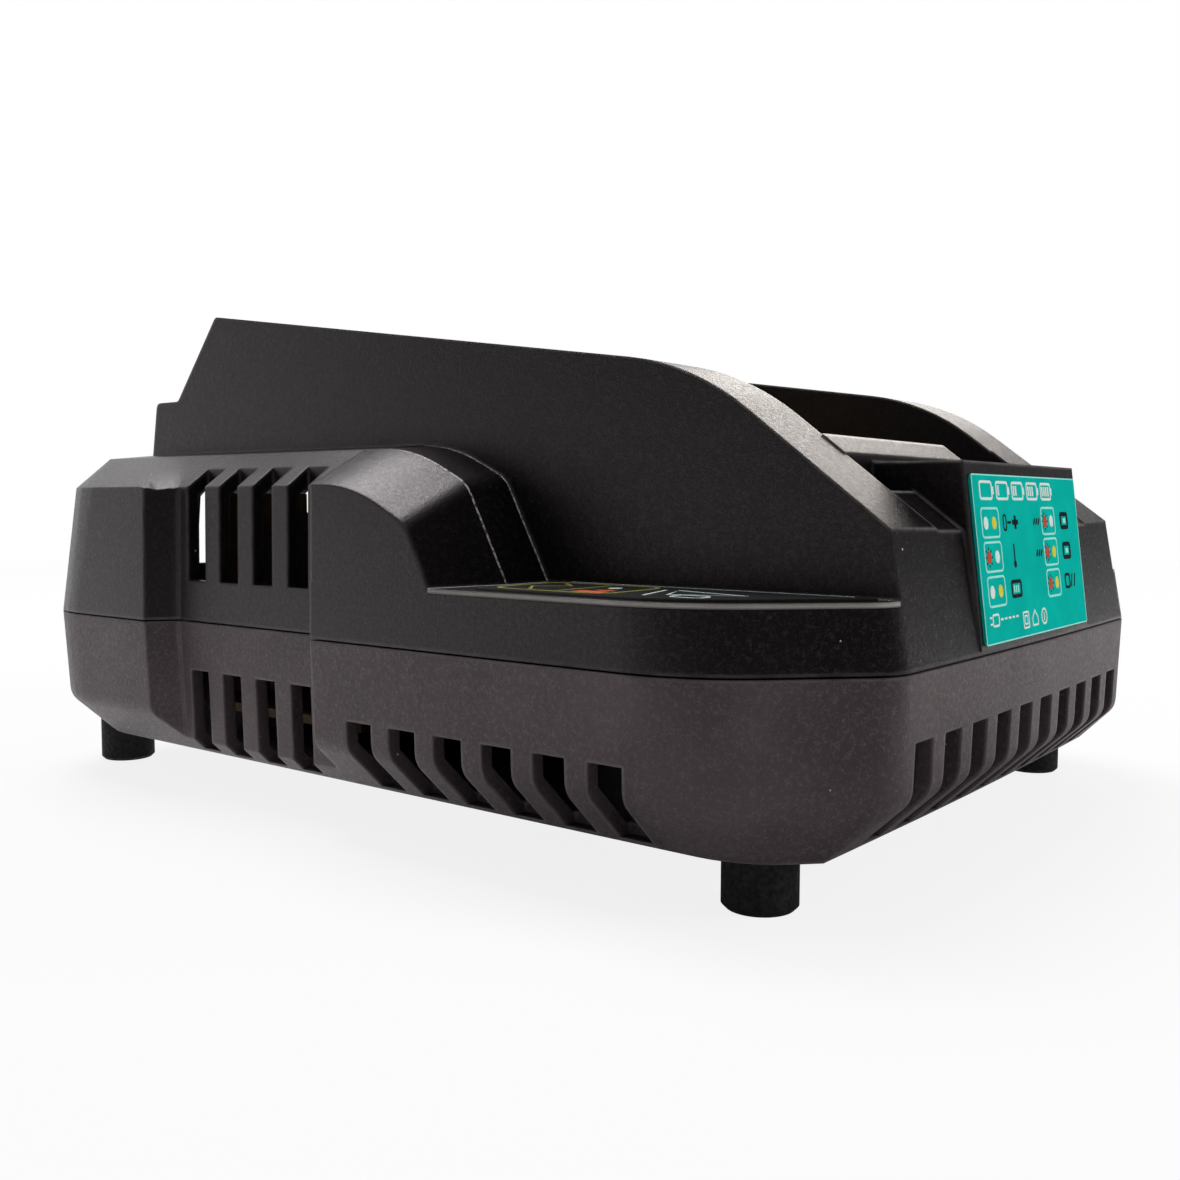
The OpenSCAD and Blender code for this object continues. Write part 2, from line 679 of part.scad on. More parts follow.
module rounded_plate(w, h, r, t) {
    linear_extrude(t) {
        square([w - 2 * r, h], center = true);
        square([w, h - 2 * r], center = true);
        for (x = [-1, 1], y = [-1, 1]) translate([x * (w / 2 - r), y * (h / 2 - r)]) circle(r);
    }
}

module front_label() color("#0fa08c") about_centre() {
    middle = (label_foot_z + 0.6 + block_z - 2) / 2;
    translate([0, label_face(middle), middle]) rotate([90 - atan(label_lean), 0, 0])
        rounded_plate(label_w, label_h, 1, label_t);
}

// The dark label follows the ledge's edge and its chamfered corner
ledge_label_y = [5, nose_y - 13];
ledge_label_gap = 2.4;
module ledge_label() color("#17161a") about_centre() translate([0, 0, ledge_z])
    linear_extrude(label_t) intersection() {
        polygon([for (p = top_ring(ledge_z, ledge_label_gap)) [p.x, p.y]]);
        translate([-half_w, ledge_label_y[0]])
            square([half_w - cheek_out - 1.6, ledge_label_y[1] - ledge_label_y[0]]);
    }

module light_pipes() color("#e8f0f0") about_centre() for (y = pipe_y)
    along_z(-pipe_x, y, indicator_z + 1.2, ledge_z, pipe_r);

module indicator_leds() color("#d83020") about_centre() for (y = pipe_y)
    along_z(-pipe_x, y, indicator_z, indicator_z + 1.2, 1.4);

module indicator_board() color("#2f6b3a") about_centre()
    block([-pipe_x - 4, pipe_y[0] - 7, indicator_z - board_t],
        [-pipe_x + 4, pipe_y[1] + 7, indicator_z]);

// ---- Terminal block and contacts ----
blade_x = 10;
blade_t = 0.8;
blade_l = 14;
signal_x = [-3, 0, 3];

module terminal_block() color("#c9a227") about_centre() difference() {
    union() {
        intersection() {
            block([-terminal_w / 2, terminal_y - terminal_l / 2, terminal_low],
                [terminal_w / 2, terminal_y + terminal_l / 2, big]);
            slab(-terminal_w, terminal_w, [
                [0, 0], [0, deck_z(0) + terminal_h], [big / 2, deck_z(big / 2) + terminal_h],
                [big / 2, 0]]);
        }
        block([-terminal_w / 2 - 3, terminal_y - terminal_l / 2 - 2, terminal_low],
            [terminal_w / 2 + 3, terminal_y + terminal_l / 2 + 2, terminal_low + 2]);
    }
    for (x = [-blade_x, blade_x])
        block([x - 2.2, terminal_y - terminal_l / 2 + 3, deck_z(terminal_y) - 3],
            [x + 2.2, terminal_y + terminal_l / 2 + 1, big]);
    block([-4.6, terminal_y - terminal_l / 2 + 3, deck_z(terminal_y) - 3],
        [4.6, terminal_y + terminal_l / 2 + 1, big]);
    for (x = [-blade_x, blade_x])
        block([x - blade_t / 2, terminal_y - blade_l / 2, 0], [x + blade_t / 2,
            terminal_y + blade_l / 2, big]);
    for (x = signal_x)
        block([x - 0.25, terminal_y - 4, 0], [x + 0.25, terminal_y + 4, big]);
}

module power_contacts() color("#c8b070") about_centre() for (x = [-blade_x, blade_x]) {
    block([x - blade_t / 2, terminal_y - blade_l / 2, terminal_low - 4],
        [x + blade_t / 2, terminal_y + blade_l / 2, deck_z(terminal_y) + terminal_h - 1.5]);
}

module signal_contacts() color("#d8c890") about_centre() for (x = signal_x)
    block([x - 0.25, terminal_y - 4, terminal_low - 3],
        [x + 0.25, terminal_y + 4, deck_z(terminal_y) + terminal_h - 2.5]);

module output_leads() color("#b02020") about_centre() for (x = [-blade_x, blade_x])
    along_z(x, terminal_y, board_top, terminal_low - 4, 1.3);

// ---- Boards and what they carry ----
wing = [-board_w / 2 - 10, 97, 142];
module main_board() color("#8a6a3c") about_centre() difference() {
    union() {
        block([-board_w / 2, board_y, board_z], [board_w / 2, board_back, board_top]);
        block([wing[0], wing[1], board_z], [-board_w / 2 + lap, wing[2], board_top]);
    }
    for (x = [-post_x, post_x], y = post_y)
        along_z(x, y, board_z - 1, board_top + 1, board_screw_r + 0.3);
}

module control_board() color("#2f6b3a") about_centre()
    block([-16, 44, board_top], [26, 44 + board_t, board_top + 20]);

core = [-22, 104];
core_size = [34, 30, 26];
module transformer_core() color("#3a3a3e") about_centre() difference() {
    block([core.x - core_size.x / 2, core.y - core_size.y / 2 + 7, board_top + 2],
        [core.x + core_size.x / 2, core.y + core_size.y / 2 - 7, board_top + 2 + core_size.z]);
    difference() {
        block([core.x - core_size.x / 2 + 5, 0, board_top + 7],
            [core.x + core_size.x / 2 - 5, big, board_top + core_size.z - 3]);
        along_z(core.x, core.y, 0, big, 5);
    }
}

module transformer_coil() color("#c9a24a") about_centre() difference() {
    union() {
        along_z(core.x, core.y, board_top + 8.5, board_top + core_size.z - 4.5, 11);
        for (z = [board_top + 7, board_top + core_size.z - 4.5])
            block([core.x - 11.5, core.y - 14, z], [core.x + 11.5, core.y + 14, z + 1.5]);
        for (y = [core.y - 14, core.y + 11])
            block([core.x - 11.5, y, board_top], [core.x + 11.5, y + 3, board_top + 7.5]);
    }
    along_z(core.x, core.y, 0, big, 5.05);
}

module can(x, y, r, h) {
    along_z(x, y, board_top, board_top + h - 0.6, r);
    along_z(x, y, board_top + h - 0.6, board_top + h, r - 0.8);
}
module bulk_capacitor() color("#1f2a44") about_centre() can(-34, 70, 11, 22);
module output_capacitors() color("#22324f") about_centre() for (y = [100, 113]) can(12, y, 5, 20);
module relay() color("#d8d8d4") about_centre()
    block([19, 61, board_top], [39, 77, board_top + 15.5]);
module buzzer() color("#151515") about_centre() difference() {
    along_z(-38, 46, board_top, board_top + 9, 6);
    along_z(-38, 46, board_top + 6, board_top + 10, 1.5);
}

sink_y = board_back - 4;
sink_t = 2;
sink_top = edge_z - 1;
module primary_heat_sink() color("#b8bcc0") about_centre() difference() {
    union() {
        block([-board_w / 2 - 5.5, sink_y, board_top], [20, sink_y + sink_t, sink_top]);
        for (x = [-30:8:18])
            block([x, sink_y + sink_t - 0.1, board_top + 4], [x + 1.5, sink_y + sink_t + 5,
                sink_top - 14]);
    }
    block([-34, sink_y - 1, sink_top - 4], [-31, sink_y + 8, sink_top + 1]);
}
module transistor_case(x) {
    block([x - 5, sink_y - 4.5, board_top + 6], [x + 5, sink_y, board_top + 21]);
    for (dx = [-2.5, 0, 2.5])
        block([x + dx - 0.4, sink_y - 2.6, board_top], [x + dx + 0.4, sink_y - 1.9, board_top + 6]);
}
module power_transistor() color("#1a1a1a") about_centre() transistor_case(-22);
module bridge_rectifier() color("#1a1a1a") about_centre() {
    block([2, sink_y - 4, board_top + 5], [18, sink_y, board_top + 18]);
    for (x = [4, 8, 12, 16])
        block([x - 0.4, sink_y - 2.4, board_top], [x + 0.4, sink_y - 1.6, board_top + 5]);
}

out_sink = [28, 84, 120];
module output_heat_sink() color("#b8bcc0") about_centre() {
    block([out_sink[0], out_sink[1], board_top], [out_sink[0] + 2, out_sink[2], board_top + 28]);
    for (y = [out_sink[1] + 2:6:out_sink[2] - 2])
        block([out_sink[0] + 1.9, y, board_top], [out_sink[0] + 9, y + 1.5, board_top + 28]);
}
module output_rectifier() color("#1a1a1a") about_centre() {
    block([out_sink[0] - 4.5, 97, board_top + 5], [out_sink[0], 107, board_top + 20]);
    for (y = [99.5, 104.5])
        block([out_sink[0] - 2.6, y - 0.4, board_top], [out_sink[0] - 1.9, y + 0.4,
            board_top + 5]);
}

choke = [-3, 130];
module line_choke() color("#4f5a3c") about_centre()
    translate([choke.x, choke.y, board_top + 5]) rotate_extrude()
        translate([6, -3]) square([4.5, 6]);
module choke_winding() color("#b5642c") about_centre() for (s = [0, 180])
    translate([choke.x, choke.y, board_top]) rotate([0, 0, s + 40])
        difference() {
            rotate_extrude(angle = 100) translate([4.6, 0]) square([7.3, 10]);
            rotate_extrude() translate([5.95, 1.95]) square([4.6, 6.1]);
        }

module x_capacitor() color("#d6b21c") about_centre()
    block([14, 122.5, board_top], [32, 130.5, board_top + 14]);

fuse_x = 42;
fuse_y = 112;
fuse_z = board_top + 6;
module fuse() color("#dfe6e8") about_centre() {
    along_y([fuse_x, fuse_y + 5, fuse_z], 2.3, 10);
    for (y = [fuse_y, fuse_y + 15]) along_y([fuse_x, y, fuse_z], 2.6, 5);
}
module fuse_clips() color("#c8ccd0") about_centre() for (y = [fuse_y + 0.5, fuse_y + 15.5])
    difference() {
        block([fuse_x - 3.2, y, board_top], [fuse_x + 3.2, y + 4, fuse_z + 1.5]);
        along_y([fuse_x, y - 1, fuse_z], 2.65, 8);
        block([fuse_x - 2, y - 1, fuse_z], [fuse_x + 2, y + 5, fuse_z + 5]);
    }

// ---- Fan ----
fan_bore = fan_size / 2 - 1;
bearing_r = 2.6;
plate_t = 1.6;
module fan_place() translate([fan_x0, fan_y, fan_z]) rotate([90, 0, 90]) children();

module fan_frame() color("#1b1b1f") about_centre() fan_place() {
    difference() {
        linear_extrude(fan_depth) difference() {
            union() {
                square([fan_size - 4, fan_size], center = true);
                square([fan_size, fan_size - 4], center = true);
                for (x = [-1, 1], y = [-1, 1])
                    translate([x, y] * (fan_size / 2 - 2)) circle(2);
            }
            circle(fan_bore, $fn = 96);
        }
        for (x = [-1, 1], y = [-1, 1])
            translate([x * (fan_size / 2 - 4), y * (fan_size / 2 - 4), -1])
                cylinder(h = fan_depth + 2, r = 1.7);
    }
    difference() {
        union() {
            cylinder(h = plate_t, r = hub_r - 1);
            cylinder(h = fan_depth - 2.6, r = bearing_r);
            for (a = [45:90:315]) rotate([0, 0, a])
                translate([hub_r - 2, -0.8, 0]) cube([fan_bore - hub_r + 2.4, 1.6, plate_t]);
        }
        translate([0, 0, -1]) cylinder(h = fan_depth + 2, r = shaft_r + 0.05);
    }
}

module fan_stator() color("#b5642c") about_centre() fan_place() difference() {
    translate([0, 0, plate_t]) cylinder(h = 3.6, r = hub_r - 2.4);
    translate([0, 0, plate_t - 1]) cylinder(h = 6, r = bearing_r + 0.02);
}

// One blade: a thin vane that twists as it leaves the hub
blade_rings = 4;
function blade_ring(k) = let (
        r = hub_r - 0.6 + (fan_bore - 0.7 - hub_r + 0.6) * k / blade_rings,
        pitch = 52 - 16 * k / blade_rings,
        chord = 8.4 + 1.2 * k / blade_rings,
        rise = 0.7)
    [for (p = [[-0.5, 0, 0], [-0.25, 1, 0], [0, 1.25, 0], [0.25, 1, 0], [0.5, 0, 0],
            [0.25, 1, -1], [0, 1.25, -1], [-0.25, 1, -1]])
        let (
            u = p.x * chord,
            v = p.y * rise + p.z * 0.9,
            s = u * cos(pitch) - v * sin(pitch),
            h = u * sin(pitch) + v * cos(pitch))
        [r * cos(s / r * degree), r * sin(s / r * degree), h]];

module fan_rotor() color("#141418") about_centre() fan_place() {
    difference() {
        translate([0, 0, plate_t + 0.6]) cylinder(h = fan_depth - plate_t - 1, r = hub_r);
        translate([0, 0, plate_t]) cylinder(h = fan_depth - plate_t - 1.6, r = hub_r - 1.2);
    }
    translate([0, 0, 0.4]) cylinder(h = fan_depth - 1.2, r = shaft_r);
    for (i = [0:fan_blades - 1]) rotate([0, 0, 360 / fan_blades * i])
        translate([0, 0, (plate_t + fan_depth) / 2 + 0.2])
            loft([for (k = [0:blade_rings]) blade_ring(k)], 0);
}

// ---- Gland and screws ----
module cord_gland() color("#101010") about_centre() difference() {
    union() {
        along_y([gland_x, gland_seat - 2.5, gland_z], gland_flange_r, 2.5);
        along_y([gland_x, gland_seat - 14, gland_z], gland_r, body_l - 0.8 - gland_seat + 14);
    }
    along_y([gland_x, 0, gland_z], cord_r, big);
}

module board_screws() color("#b0b4b8") about_centre() for (x = [-post_x, post_x], y = post_y) {
    along_z(x, y, inner_floor + 1, board_top, board_screw_r);
    along_z(x, y, board_top, board_top + 1.6, 2.6);
}

module housing_screws() color("#b0b4b8") about_centre() both_sides() for (i = [0, 1]) difference() {
    union() {
        along_z(-column_x[i], column_y[i], screw_seat - 2, screw_seat, column_r - 1.3);
        along_z(-column_x[i], column_y[i], screw_seat, seam_z - 1 + seam_gap + screw_depth - 1,
            screw_r);
    }
    along_z(-column_x[i], column_y[i], screw_seat - 3, screw_seat - 1, 1.1, $fn = 6);
}

base_shell();
top_shell();
foot_front_left();
foot_front_right();
foot_rear_left();
foot_rear_right();
front_label();
ledge_label();
light_pipes();
indicator_board();
indicator_leds();
terminal_block();
power_contacts();
signal_contacts();
output_leads();
main_board();
control_board();
transformer_core();
transformer_coil();
bulk_capacitor();
output_capacitors();
primary_heat_sink();
power_transistor();
bridge_rectifier();
output_heat_sink();
output_rectifier();
line_choke();
choke_winding();
x_capacitor();
fuse();
fuse_clips();
relay();
buzzer();
fan_frame();
fan_stator();
fan_rotor();
cord_gland();
board_screws();
housing_screws();
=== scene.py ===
"""Looks of a desk charger for slide-on power tool batteries.

The housing, the rubber feet, the labels and everything inside keep the frame's
places. Lengths are metres in code and millimetres where a name ends in _mm.
"""
import math

import bmesh
import bpy
import numpy as np
from mathutils import Matrix, Vector


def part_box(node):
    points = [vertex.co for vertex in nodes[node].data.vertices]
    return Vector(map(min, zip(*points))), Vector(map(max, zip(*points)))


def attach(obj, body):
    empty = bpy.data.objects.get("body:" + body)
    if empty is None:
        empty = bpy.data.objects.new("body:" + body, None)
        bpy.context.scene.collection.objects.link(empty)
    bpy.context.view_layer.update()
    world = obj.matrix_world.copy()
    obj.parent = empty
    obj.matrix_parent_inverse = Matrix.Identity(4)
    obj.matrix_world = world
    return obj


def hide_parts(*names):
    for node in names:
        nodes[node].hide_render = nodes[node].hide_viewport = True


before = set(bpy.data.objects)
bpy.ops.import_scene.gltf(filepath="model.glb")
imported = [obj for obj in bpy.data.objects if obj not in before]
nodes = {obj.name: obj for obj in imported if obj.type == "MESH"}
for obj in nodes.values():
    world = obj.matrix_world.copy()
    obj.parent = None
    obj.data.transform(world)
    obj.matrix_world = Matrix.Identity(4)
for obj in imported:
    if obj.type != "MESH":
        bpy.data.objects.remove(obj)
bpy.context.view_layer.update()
MM = 0.001

# ---- Places on the housing ----
# The flat top of the side ledges, and the seam between the two shells
LEDGE_Z, SEAM_Z = 0.0434, 0.0336
# The outer and the inner crease of a vent block's crown
CROWN_OUT_X, CROWN_IN_X = 0.0601, 0.0506
# The front and the rear end of the creases over a vent block's nose
NOSE_Y = (-0.036, -0.001)
# Where the ledges' rounded rim ends, in front of the nose's foot
RIM_END_Y = -0.0282
# The rear corners lie behind this
REAR_Y = 0.08
# A step of this size above or below such a place is clear of it
HAIR = 0.0001


# ---- Camera ----
# In degrees
HEADING, PITCH, ROLL = 38.2248, 4.1137, -0.12547
CAMERA_PLACE = (-0.2024, -0.1606, 0.0564)
FOCAL_MM, SENSOR_MM = 36.947, 36.0
NEAR_CLIP, FAR_CLIP = 0.01, 20


def place_camera():
    """A camera that looks along its heading, counted from +X, and down by its pitch. The roll
    turns its two image axes."""
    heading, pitch, roll = (math.radians(a) for a in (HEADING, PITCH, ROLL))
    ahead = Vector((math.cos(heading) * math.cos(pitch),
                    math.sin(heading) * math.cos(pitch), -math.sin(pitch)))
    right = Vector((math.sin(heading), -math.cos(heading), 0))
    down = ahead.cross(right)
    across = right * math.cos(roll) + down * math.sin(roll)
    below = down * math.cos(roll) - right * math.sin(roll)
    lens = bpy.data.cameras.new("view")
    lens.lens, lens.sensor_width = FOCAL_MM, SENSOR_MM
    lens.clip_start, lens.clip_end = NEAR_CLIP, FAR_CLIP
    camera = bpy.data.objects.new("view", lens)
    turn = Matrix((across, -below, -ahead)).transposed().to_4x4()
    camera.matrix_world = Matrix.Translation(CAMERA_PLACE) @ turn
    bpy.context.scene.collection.objects.link(camera)
    bpy.context.scene.camera = camera


place_camera()


# ---- Node trees ----
FLOAT, VECTOR = "NodeSocketFloat", "NodeSocketVector"
# The Mix node's sockets for the share and the two colours, and for their mixture
MIX_SHARE, MIX_FIRST, MIX_SECOND, MIX_RESULT = 0, 6, 7, 2
# Most of a noise texture's values lie in the first range, and nearly all in the second
NOISE_MIDDLE, NOISE_SPAN = (0.35, 0.65), (0.3, 0.7)


def feed(tree, socket, value):
    """Gives a socket a plain value, or links it where the value is another socket."""
    if isinstance(value, bpy.types.NodeSocket):
        tree.links.new(value, socket)
    else:
        socket.default_value = value


def add(tree, kind, inputs=None, **settings):
    """A shader node with its settings, and its inputs as values or as sockets to link."""
    node = tree.nodes.new(kind)
    for name, value in settings.items():
        setattr(node, name, value)
    for name, value in (inputs or {}).items():
        feed(tree, node.inputs[name], value)
    return node


def math_node(tree, operation, a, b=0.0, clamp=False):
    """The operation on a and b, which are numbers or sockets."""
    return add(tree, "ShaderNodeMath", {0: a, 1: b}, operation=operation,
               use_clamp=clamp).outputs[0]


def chained(tree, operation, first, *others):
    """The operation on the first two values, then on that result and the third, and so on."""
    for other in others:
        first = math_node(tree, operation, first, other)
    return first


def vector_node(tree, operation, output, *vectors):
    """The named output of the operation on one or two vectors."""
    return add(tree, "ShaderNodeVectorMath", dict(enumerate(vectors)),
               operation=operation).outputs[output]


def spread(tree, value, low, high, out_low=0.0, out_high=1.0):
    """Value mapped from low..high to out_low..out_high, held at its ends."""
    return add(tree, "ShaderNodeMapRange", {
        "Value": value, "From Min": low, "From Max": high,
        "To Min": out_low, "To Max": out_high}).outputs[0]


def blended(tree, share, first, second):
    """The first colour where the share is 0, and the second where it is 1."""
    return add(tree, "ShaderNodeMix", {MIX_SHARE: share, MIX_FIRST: first, MIX_SECOND: second},
               data_type="RGBA").outputs[MIX_RESULT]


def noise(tree, place, scale, **inputs):
    """A noise texture's value at the place."""
    return add(tree, "ShaderNodeTexNoise", {
        "Vector": place, "Scale": scale, **inputs}).outputs[0]


def object_place(tree):
    """A point's place on its own piece."""
    return add(tree, "ShaderNodeTexCoord").outputs["Object"]


def axes(tree, vector):
    """A vector's x, y and z."""
    return add(tree, "ShaderNodeSeparateXYZ", {"Vector": vector}).outputs


def colour(r, g, b):
    """The colour with full alpha."""
    return (r, g, b, 1.0)


def new_group(name, inputs, outputs):
    """A node group with named sockets, with what it is given and what it puts out."""
    group = bpy.data.node_groups.new(name, "ShaderNodeTree")
    for socket, kind, value in inputs:
        made = group.interface.new_socket(socket, in_out="INPUT", socket_type=kind)
        if value is not None:
            made.default_value = value
    for socket, kind in outputs:
        group.interface.new_socket(socket, in_out="OUTPUT", socket_type=kind)
    given, out = group.nodes.new("NodeGroupInput"), group.nodes.new("NodeGroupOutput")
    return group, given.outputs, out.inputs


# ---- Patterns that materials share ----
# Weight of the fine bumps in the grain's height, and how much coarser the others are
FINE_SHARE, COARSE_SCALE = 0.65, 0.37
# Height from which a bump's top is a fleck, and at which it is fully one
FLECK_HEIGHTS = (0.50, 0.64)


def make_grain():
    """Spark-eroded grain: fine bumps on a coarser mottle, and pale flecks on their tops."""
    group, given, out = new_group("eroded_grain", [
        ("Size", FLOAT, 0.0004), ("Mottle", FLOAT, 0.02)],
        [("Height", FLOAT), ("Fleck", FLOAT), ("Mottle", FLOAT)])
    place = object_place(group)
    scale = math_node(group, "DIVIDE", 1.0, given["Size"])
    fine = noise(group, place, scale, Detail=3.0, Roughness=0.7)
    coarse = noise(group, place, math_node(group, "MULTIPLY", scale, COARSE_SCALE), Detail=1.0)
    height = math_node(group, "ADD", math_node(group, "MULTIPLY", fine, FINE_SHARE),
                       math_node(group, "MULTIPLY", coarse, 1.0 - FINE_SHARE))
    broad = noise(group, place, math_node(group, "DIVIDE", 1.0, given["Mottle"]), Detail=3.0)
    feed(group, out["Height"], height)
    feed(group, out["Fleck"], spread(group, height, *FLECK_HEIGHTS))
    feed(group, out["Mottle"], spread(group, broad, *NOISE_MIDDLE))
    return group


# The bend, as 1 - cosine, from which an edge turns paler (wear and painted highlight), and the
# scale of its patches
BEND_START, PATCH_SCALE = 0.002, 260.0
# How far an edge's normal points up, and how far forward it lies, for it to get a painted
# highlight
UP_LEAN, FORWARD_Y = (0.2, 0.5), (-0.06, -0.05)


def make_edges():
    """Where the rounded normal leaves the flat one, an edge is painted paler, partly as wear
    and partly as a painted highlight; Full is the value of 1 - cosine between the two at which
    it is fully pale. The second output is a painted highlight on the up-facing front edges."""
    group, given, out = new_group("worn_and_glinting_edges", [
        ("Rounded", VECTOR, None), ("Full", FLOAT, 0.03)], [("Edge", FLOAT), ("Upper", FLOAT)])
    flat = add(group, "ShaderNodeNewGeometry").outputs["Normal"]
    cosine = vector_node(group, "DOT_PRODUCT", "Value", given["Rounded"], flat)
    bend = math_node(group, "SUBTRACT", 1.0, cosine)
    place = object_place(group)
    patches = spread(group, noise(group, place, PATCH_SCALE, Detail=3.0), 0.3, 0.6, 0.35, 1.0)
    wear_and_glint = math_node(group, "MULTIPLY", spread(group, bend, BEND_START, given["Full"]), patches)
    upward = spread(group, axes(group, given["Rounded"])["Z"], *UP_LEAN)
    forward = spread(group, axes(group, place)["Y"], *FORWARD_Y, 1.0, 0.0)
    feed(group, out["Edge"], wear_and_glint)
    # A painted highlight on the up-facing edges of the front part
    feed(group, out["Upper"], math_node(
        group, "MULTIPLY", wear_and_glint, math_node(group, "MULTIPLY", upward, forward)))
    return group


def make_dust():
    """A few pale specks, each at its own cell's centre, on a small share of cells."""
    group, given, out = new_group("dust_specks", [
        ("Cell", FLOAT, 0.004), ("Share", FLOAT, 0.06), ("Radius", FLOAT, 0.045)],
        [("Dust", FLOAT)])
    cells = add(group, "ShaderNodeTexVoronoi", {
        "Vector": object_place(group), "Scale": math_node(group, "DIVIDE", 1.0, given["Cell"]),
        "Randomness": 1.0}).outputs
    near = math_node(group, "LESS_THAN", cells["Distance"], given["Radius"])
    draw = add(group, "ShaderNodeSeparateColor", {"Color": cells["Color"]}).outputs[0]
    chosen = math_node(group, "LESS_THAN", draw, given["Share"])
    feed(group, out["Dust"], math_node(group, "MULTIPLY", near, chosen))
    return group


# Along the nose the painted highlight line fades in over the first range of y and out over the
# second
GLINT_STARTS_Y, GLINT_ENDS_Y = (-0.036, -0.034), (-0.012, -0.002)
# The scale of the gaps in it
GAP_SCALE = 1500.0


def make_crease():
    """Painted highlight lines on the creases along each vent block's nose, outside and inside
    its
    crown: a crease lies in a plane of constant x, so its line is the narrow band near that
    plane."""
    group, given, out = new_group("crease_glint", [
        ("Outside", FLOAT, CROWN_OUT_X), ("Inside", FLOAT, CROWN_IN_X),
        ("Half Width", FLOAT, 0.0002)], [("Glint Line", FLOAT)])
    place = object_place(group)
    x, y, z = axes(group, place)
    outward = math_node(group, "ABSOLUTE", x)
    away = math_node(group, "MINIMUM", *(
        math_node(group, "ABSOLUTE", math_node(group, "SUBTRACT", outward, given[crease]))
        for crease in ("Outside", "Inside")))
    near = math_node(group, "LESS_THAN", away, given["Half Width"])
    along = math_node(group, "MULTIPLY", spread(group, y, *GLINT_STARTS_Y),
                      spread(group, y, *GLINT_ENDS_Y, 1.0, 0.0))
    above = math_node(group, "GREATER_THAN", z, LEDGE_Z + 2 * HAIR)
    broken = spread(group, noise(group, place, GAP_SCALE, Detail=2.0), 0.4, 0.55, 0.15, 1.0)
    feed(group, out["Glint Line"], chained(group, "MULTIPLY", near, along, above, broken))
    return group


# How far the normal turns up at the top of the rim, as the z that is added to it
RIM_TURN = 1.6
# Faces whose normal points up less than this are walls
WALL_LEAN = 0.5


def make_rim():
    """The rounded rim of the side ledges: over the last millimetre below the ledge the normal
    of an outer wall turns up, by an angle that grows evenly with the height. The second output
    is a painted highlight on the upper part of that rim."""
    group, given, out = new_group("rounded_rim", [
        ("Normal", VECTOR, None), ("Ledge", FLOAT, LEDGE_Z), ("Radius", FLOAT, 0.0009)],
        [("Normal", VECTOR), ("Glint Line", FLOAT)])
    x, y, z = axes(group, object_place(group))
    lean = axes(group, add(group, "ShaderNodeNewGeometry").outputs["Normal"])["Z"]
    start = math_node(group, "SUBTRACT", given["Ledge"], given["Radius"])
    climb = math_node(group, "DIVIDE", math_node(group, "SUBTRACT", z, start),
                      given["Radius"], clamp=True)
    end = math_node(group, "ADD", given["Ledge"], HAIR)
    outward = math_node(group, "ABSOLUTE", x)
    climb = chained(group, "MULTIPLY", climb, math_node(group, "LESS_THAN", z, end),
                    math_node(group, "LESS_THAN", lean, WALL_LEAN),
                    math_node(group, "GREATER_THAN", outward, CROWN_IN_X),
                    math_node(group, "LESS_THAN", y, RIM_END_Y))
    # A painted highlight on the upper part of the rim
    feed(group, out["Glint Line"], spread(group, climb, 0.15, 0.6))
    turn = math_node(group, "MULTIPLY", climb, RIM_TURN)
    raised = add(group, "ShaderNodeCombineXYZ", {"Z": turn}).outputs[0]
    moved = vector_node(group, "ADD", "Vector", given["Normal"], raised)
    feed(group, out["Normal"], vector_node(group, "NORMALIZE", "Vector", moved))
    return group


grain_group, edge_group, dust_group = make_grain(), make_edges(), make_dust()
crease_group, rim_group = make_crease(), make_rim()


# ---- Materials ----
# By how much the roughness falls on the tops of the grain and grows in its dips, and the
# same for a plain finish
GRAIN_SWING, PLAIN_SWING = 0.12, 0.06
# A fleck's colour as a share of the worn edge's
FLECK_TONE = 0.9
DUST_COLOUR = (0.5, 0.49, 0.47)
BEVEL_SAMPLES = 6


def new_material(name):
    """A material with its node tree and its Principled shader."""
    material = bpy.data.materials.new(name)
    material.use_nodes = True
    tree = material.node_tree
    return material, tree, tree.nodes["Principled BSDF"]


def set_inputs(tree, shader, **values):
    """Feeds a shader's inputs; an underscore in a name stands for a space."""
    for name, value in values.items():
        feed(tree, shader.inputs[name.replace("_", " ")], value)


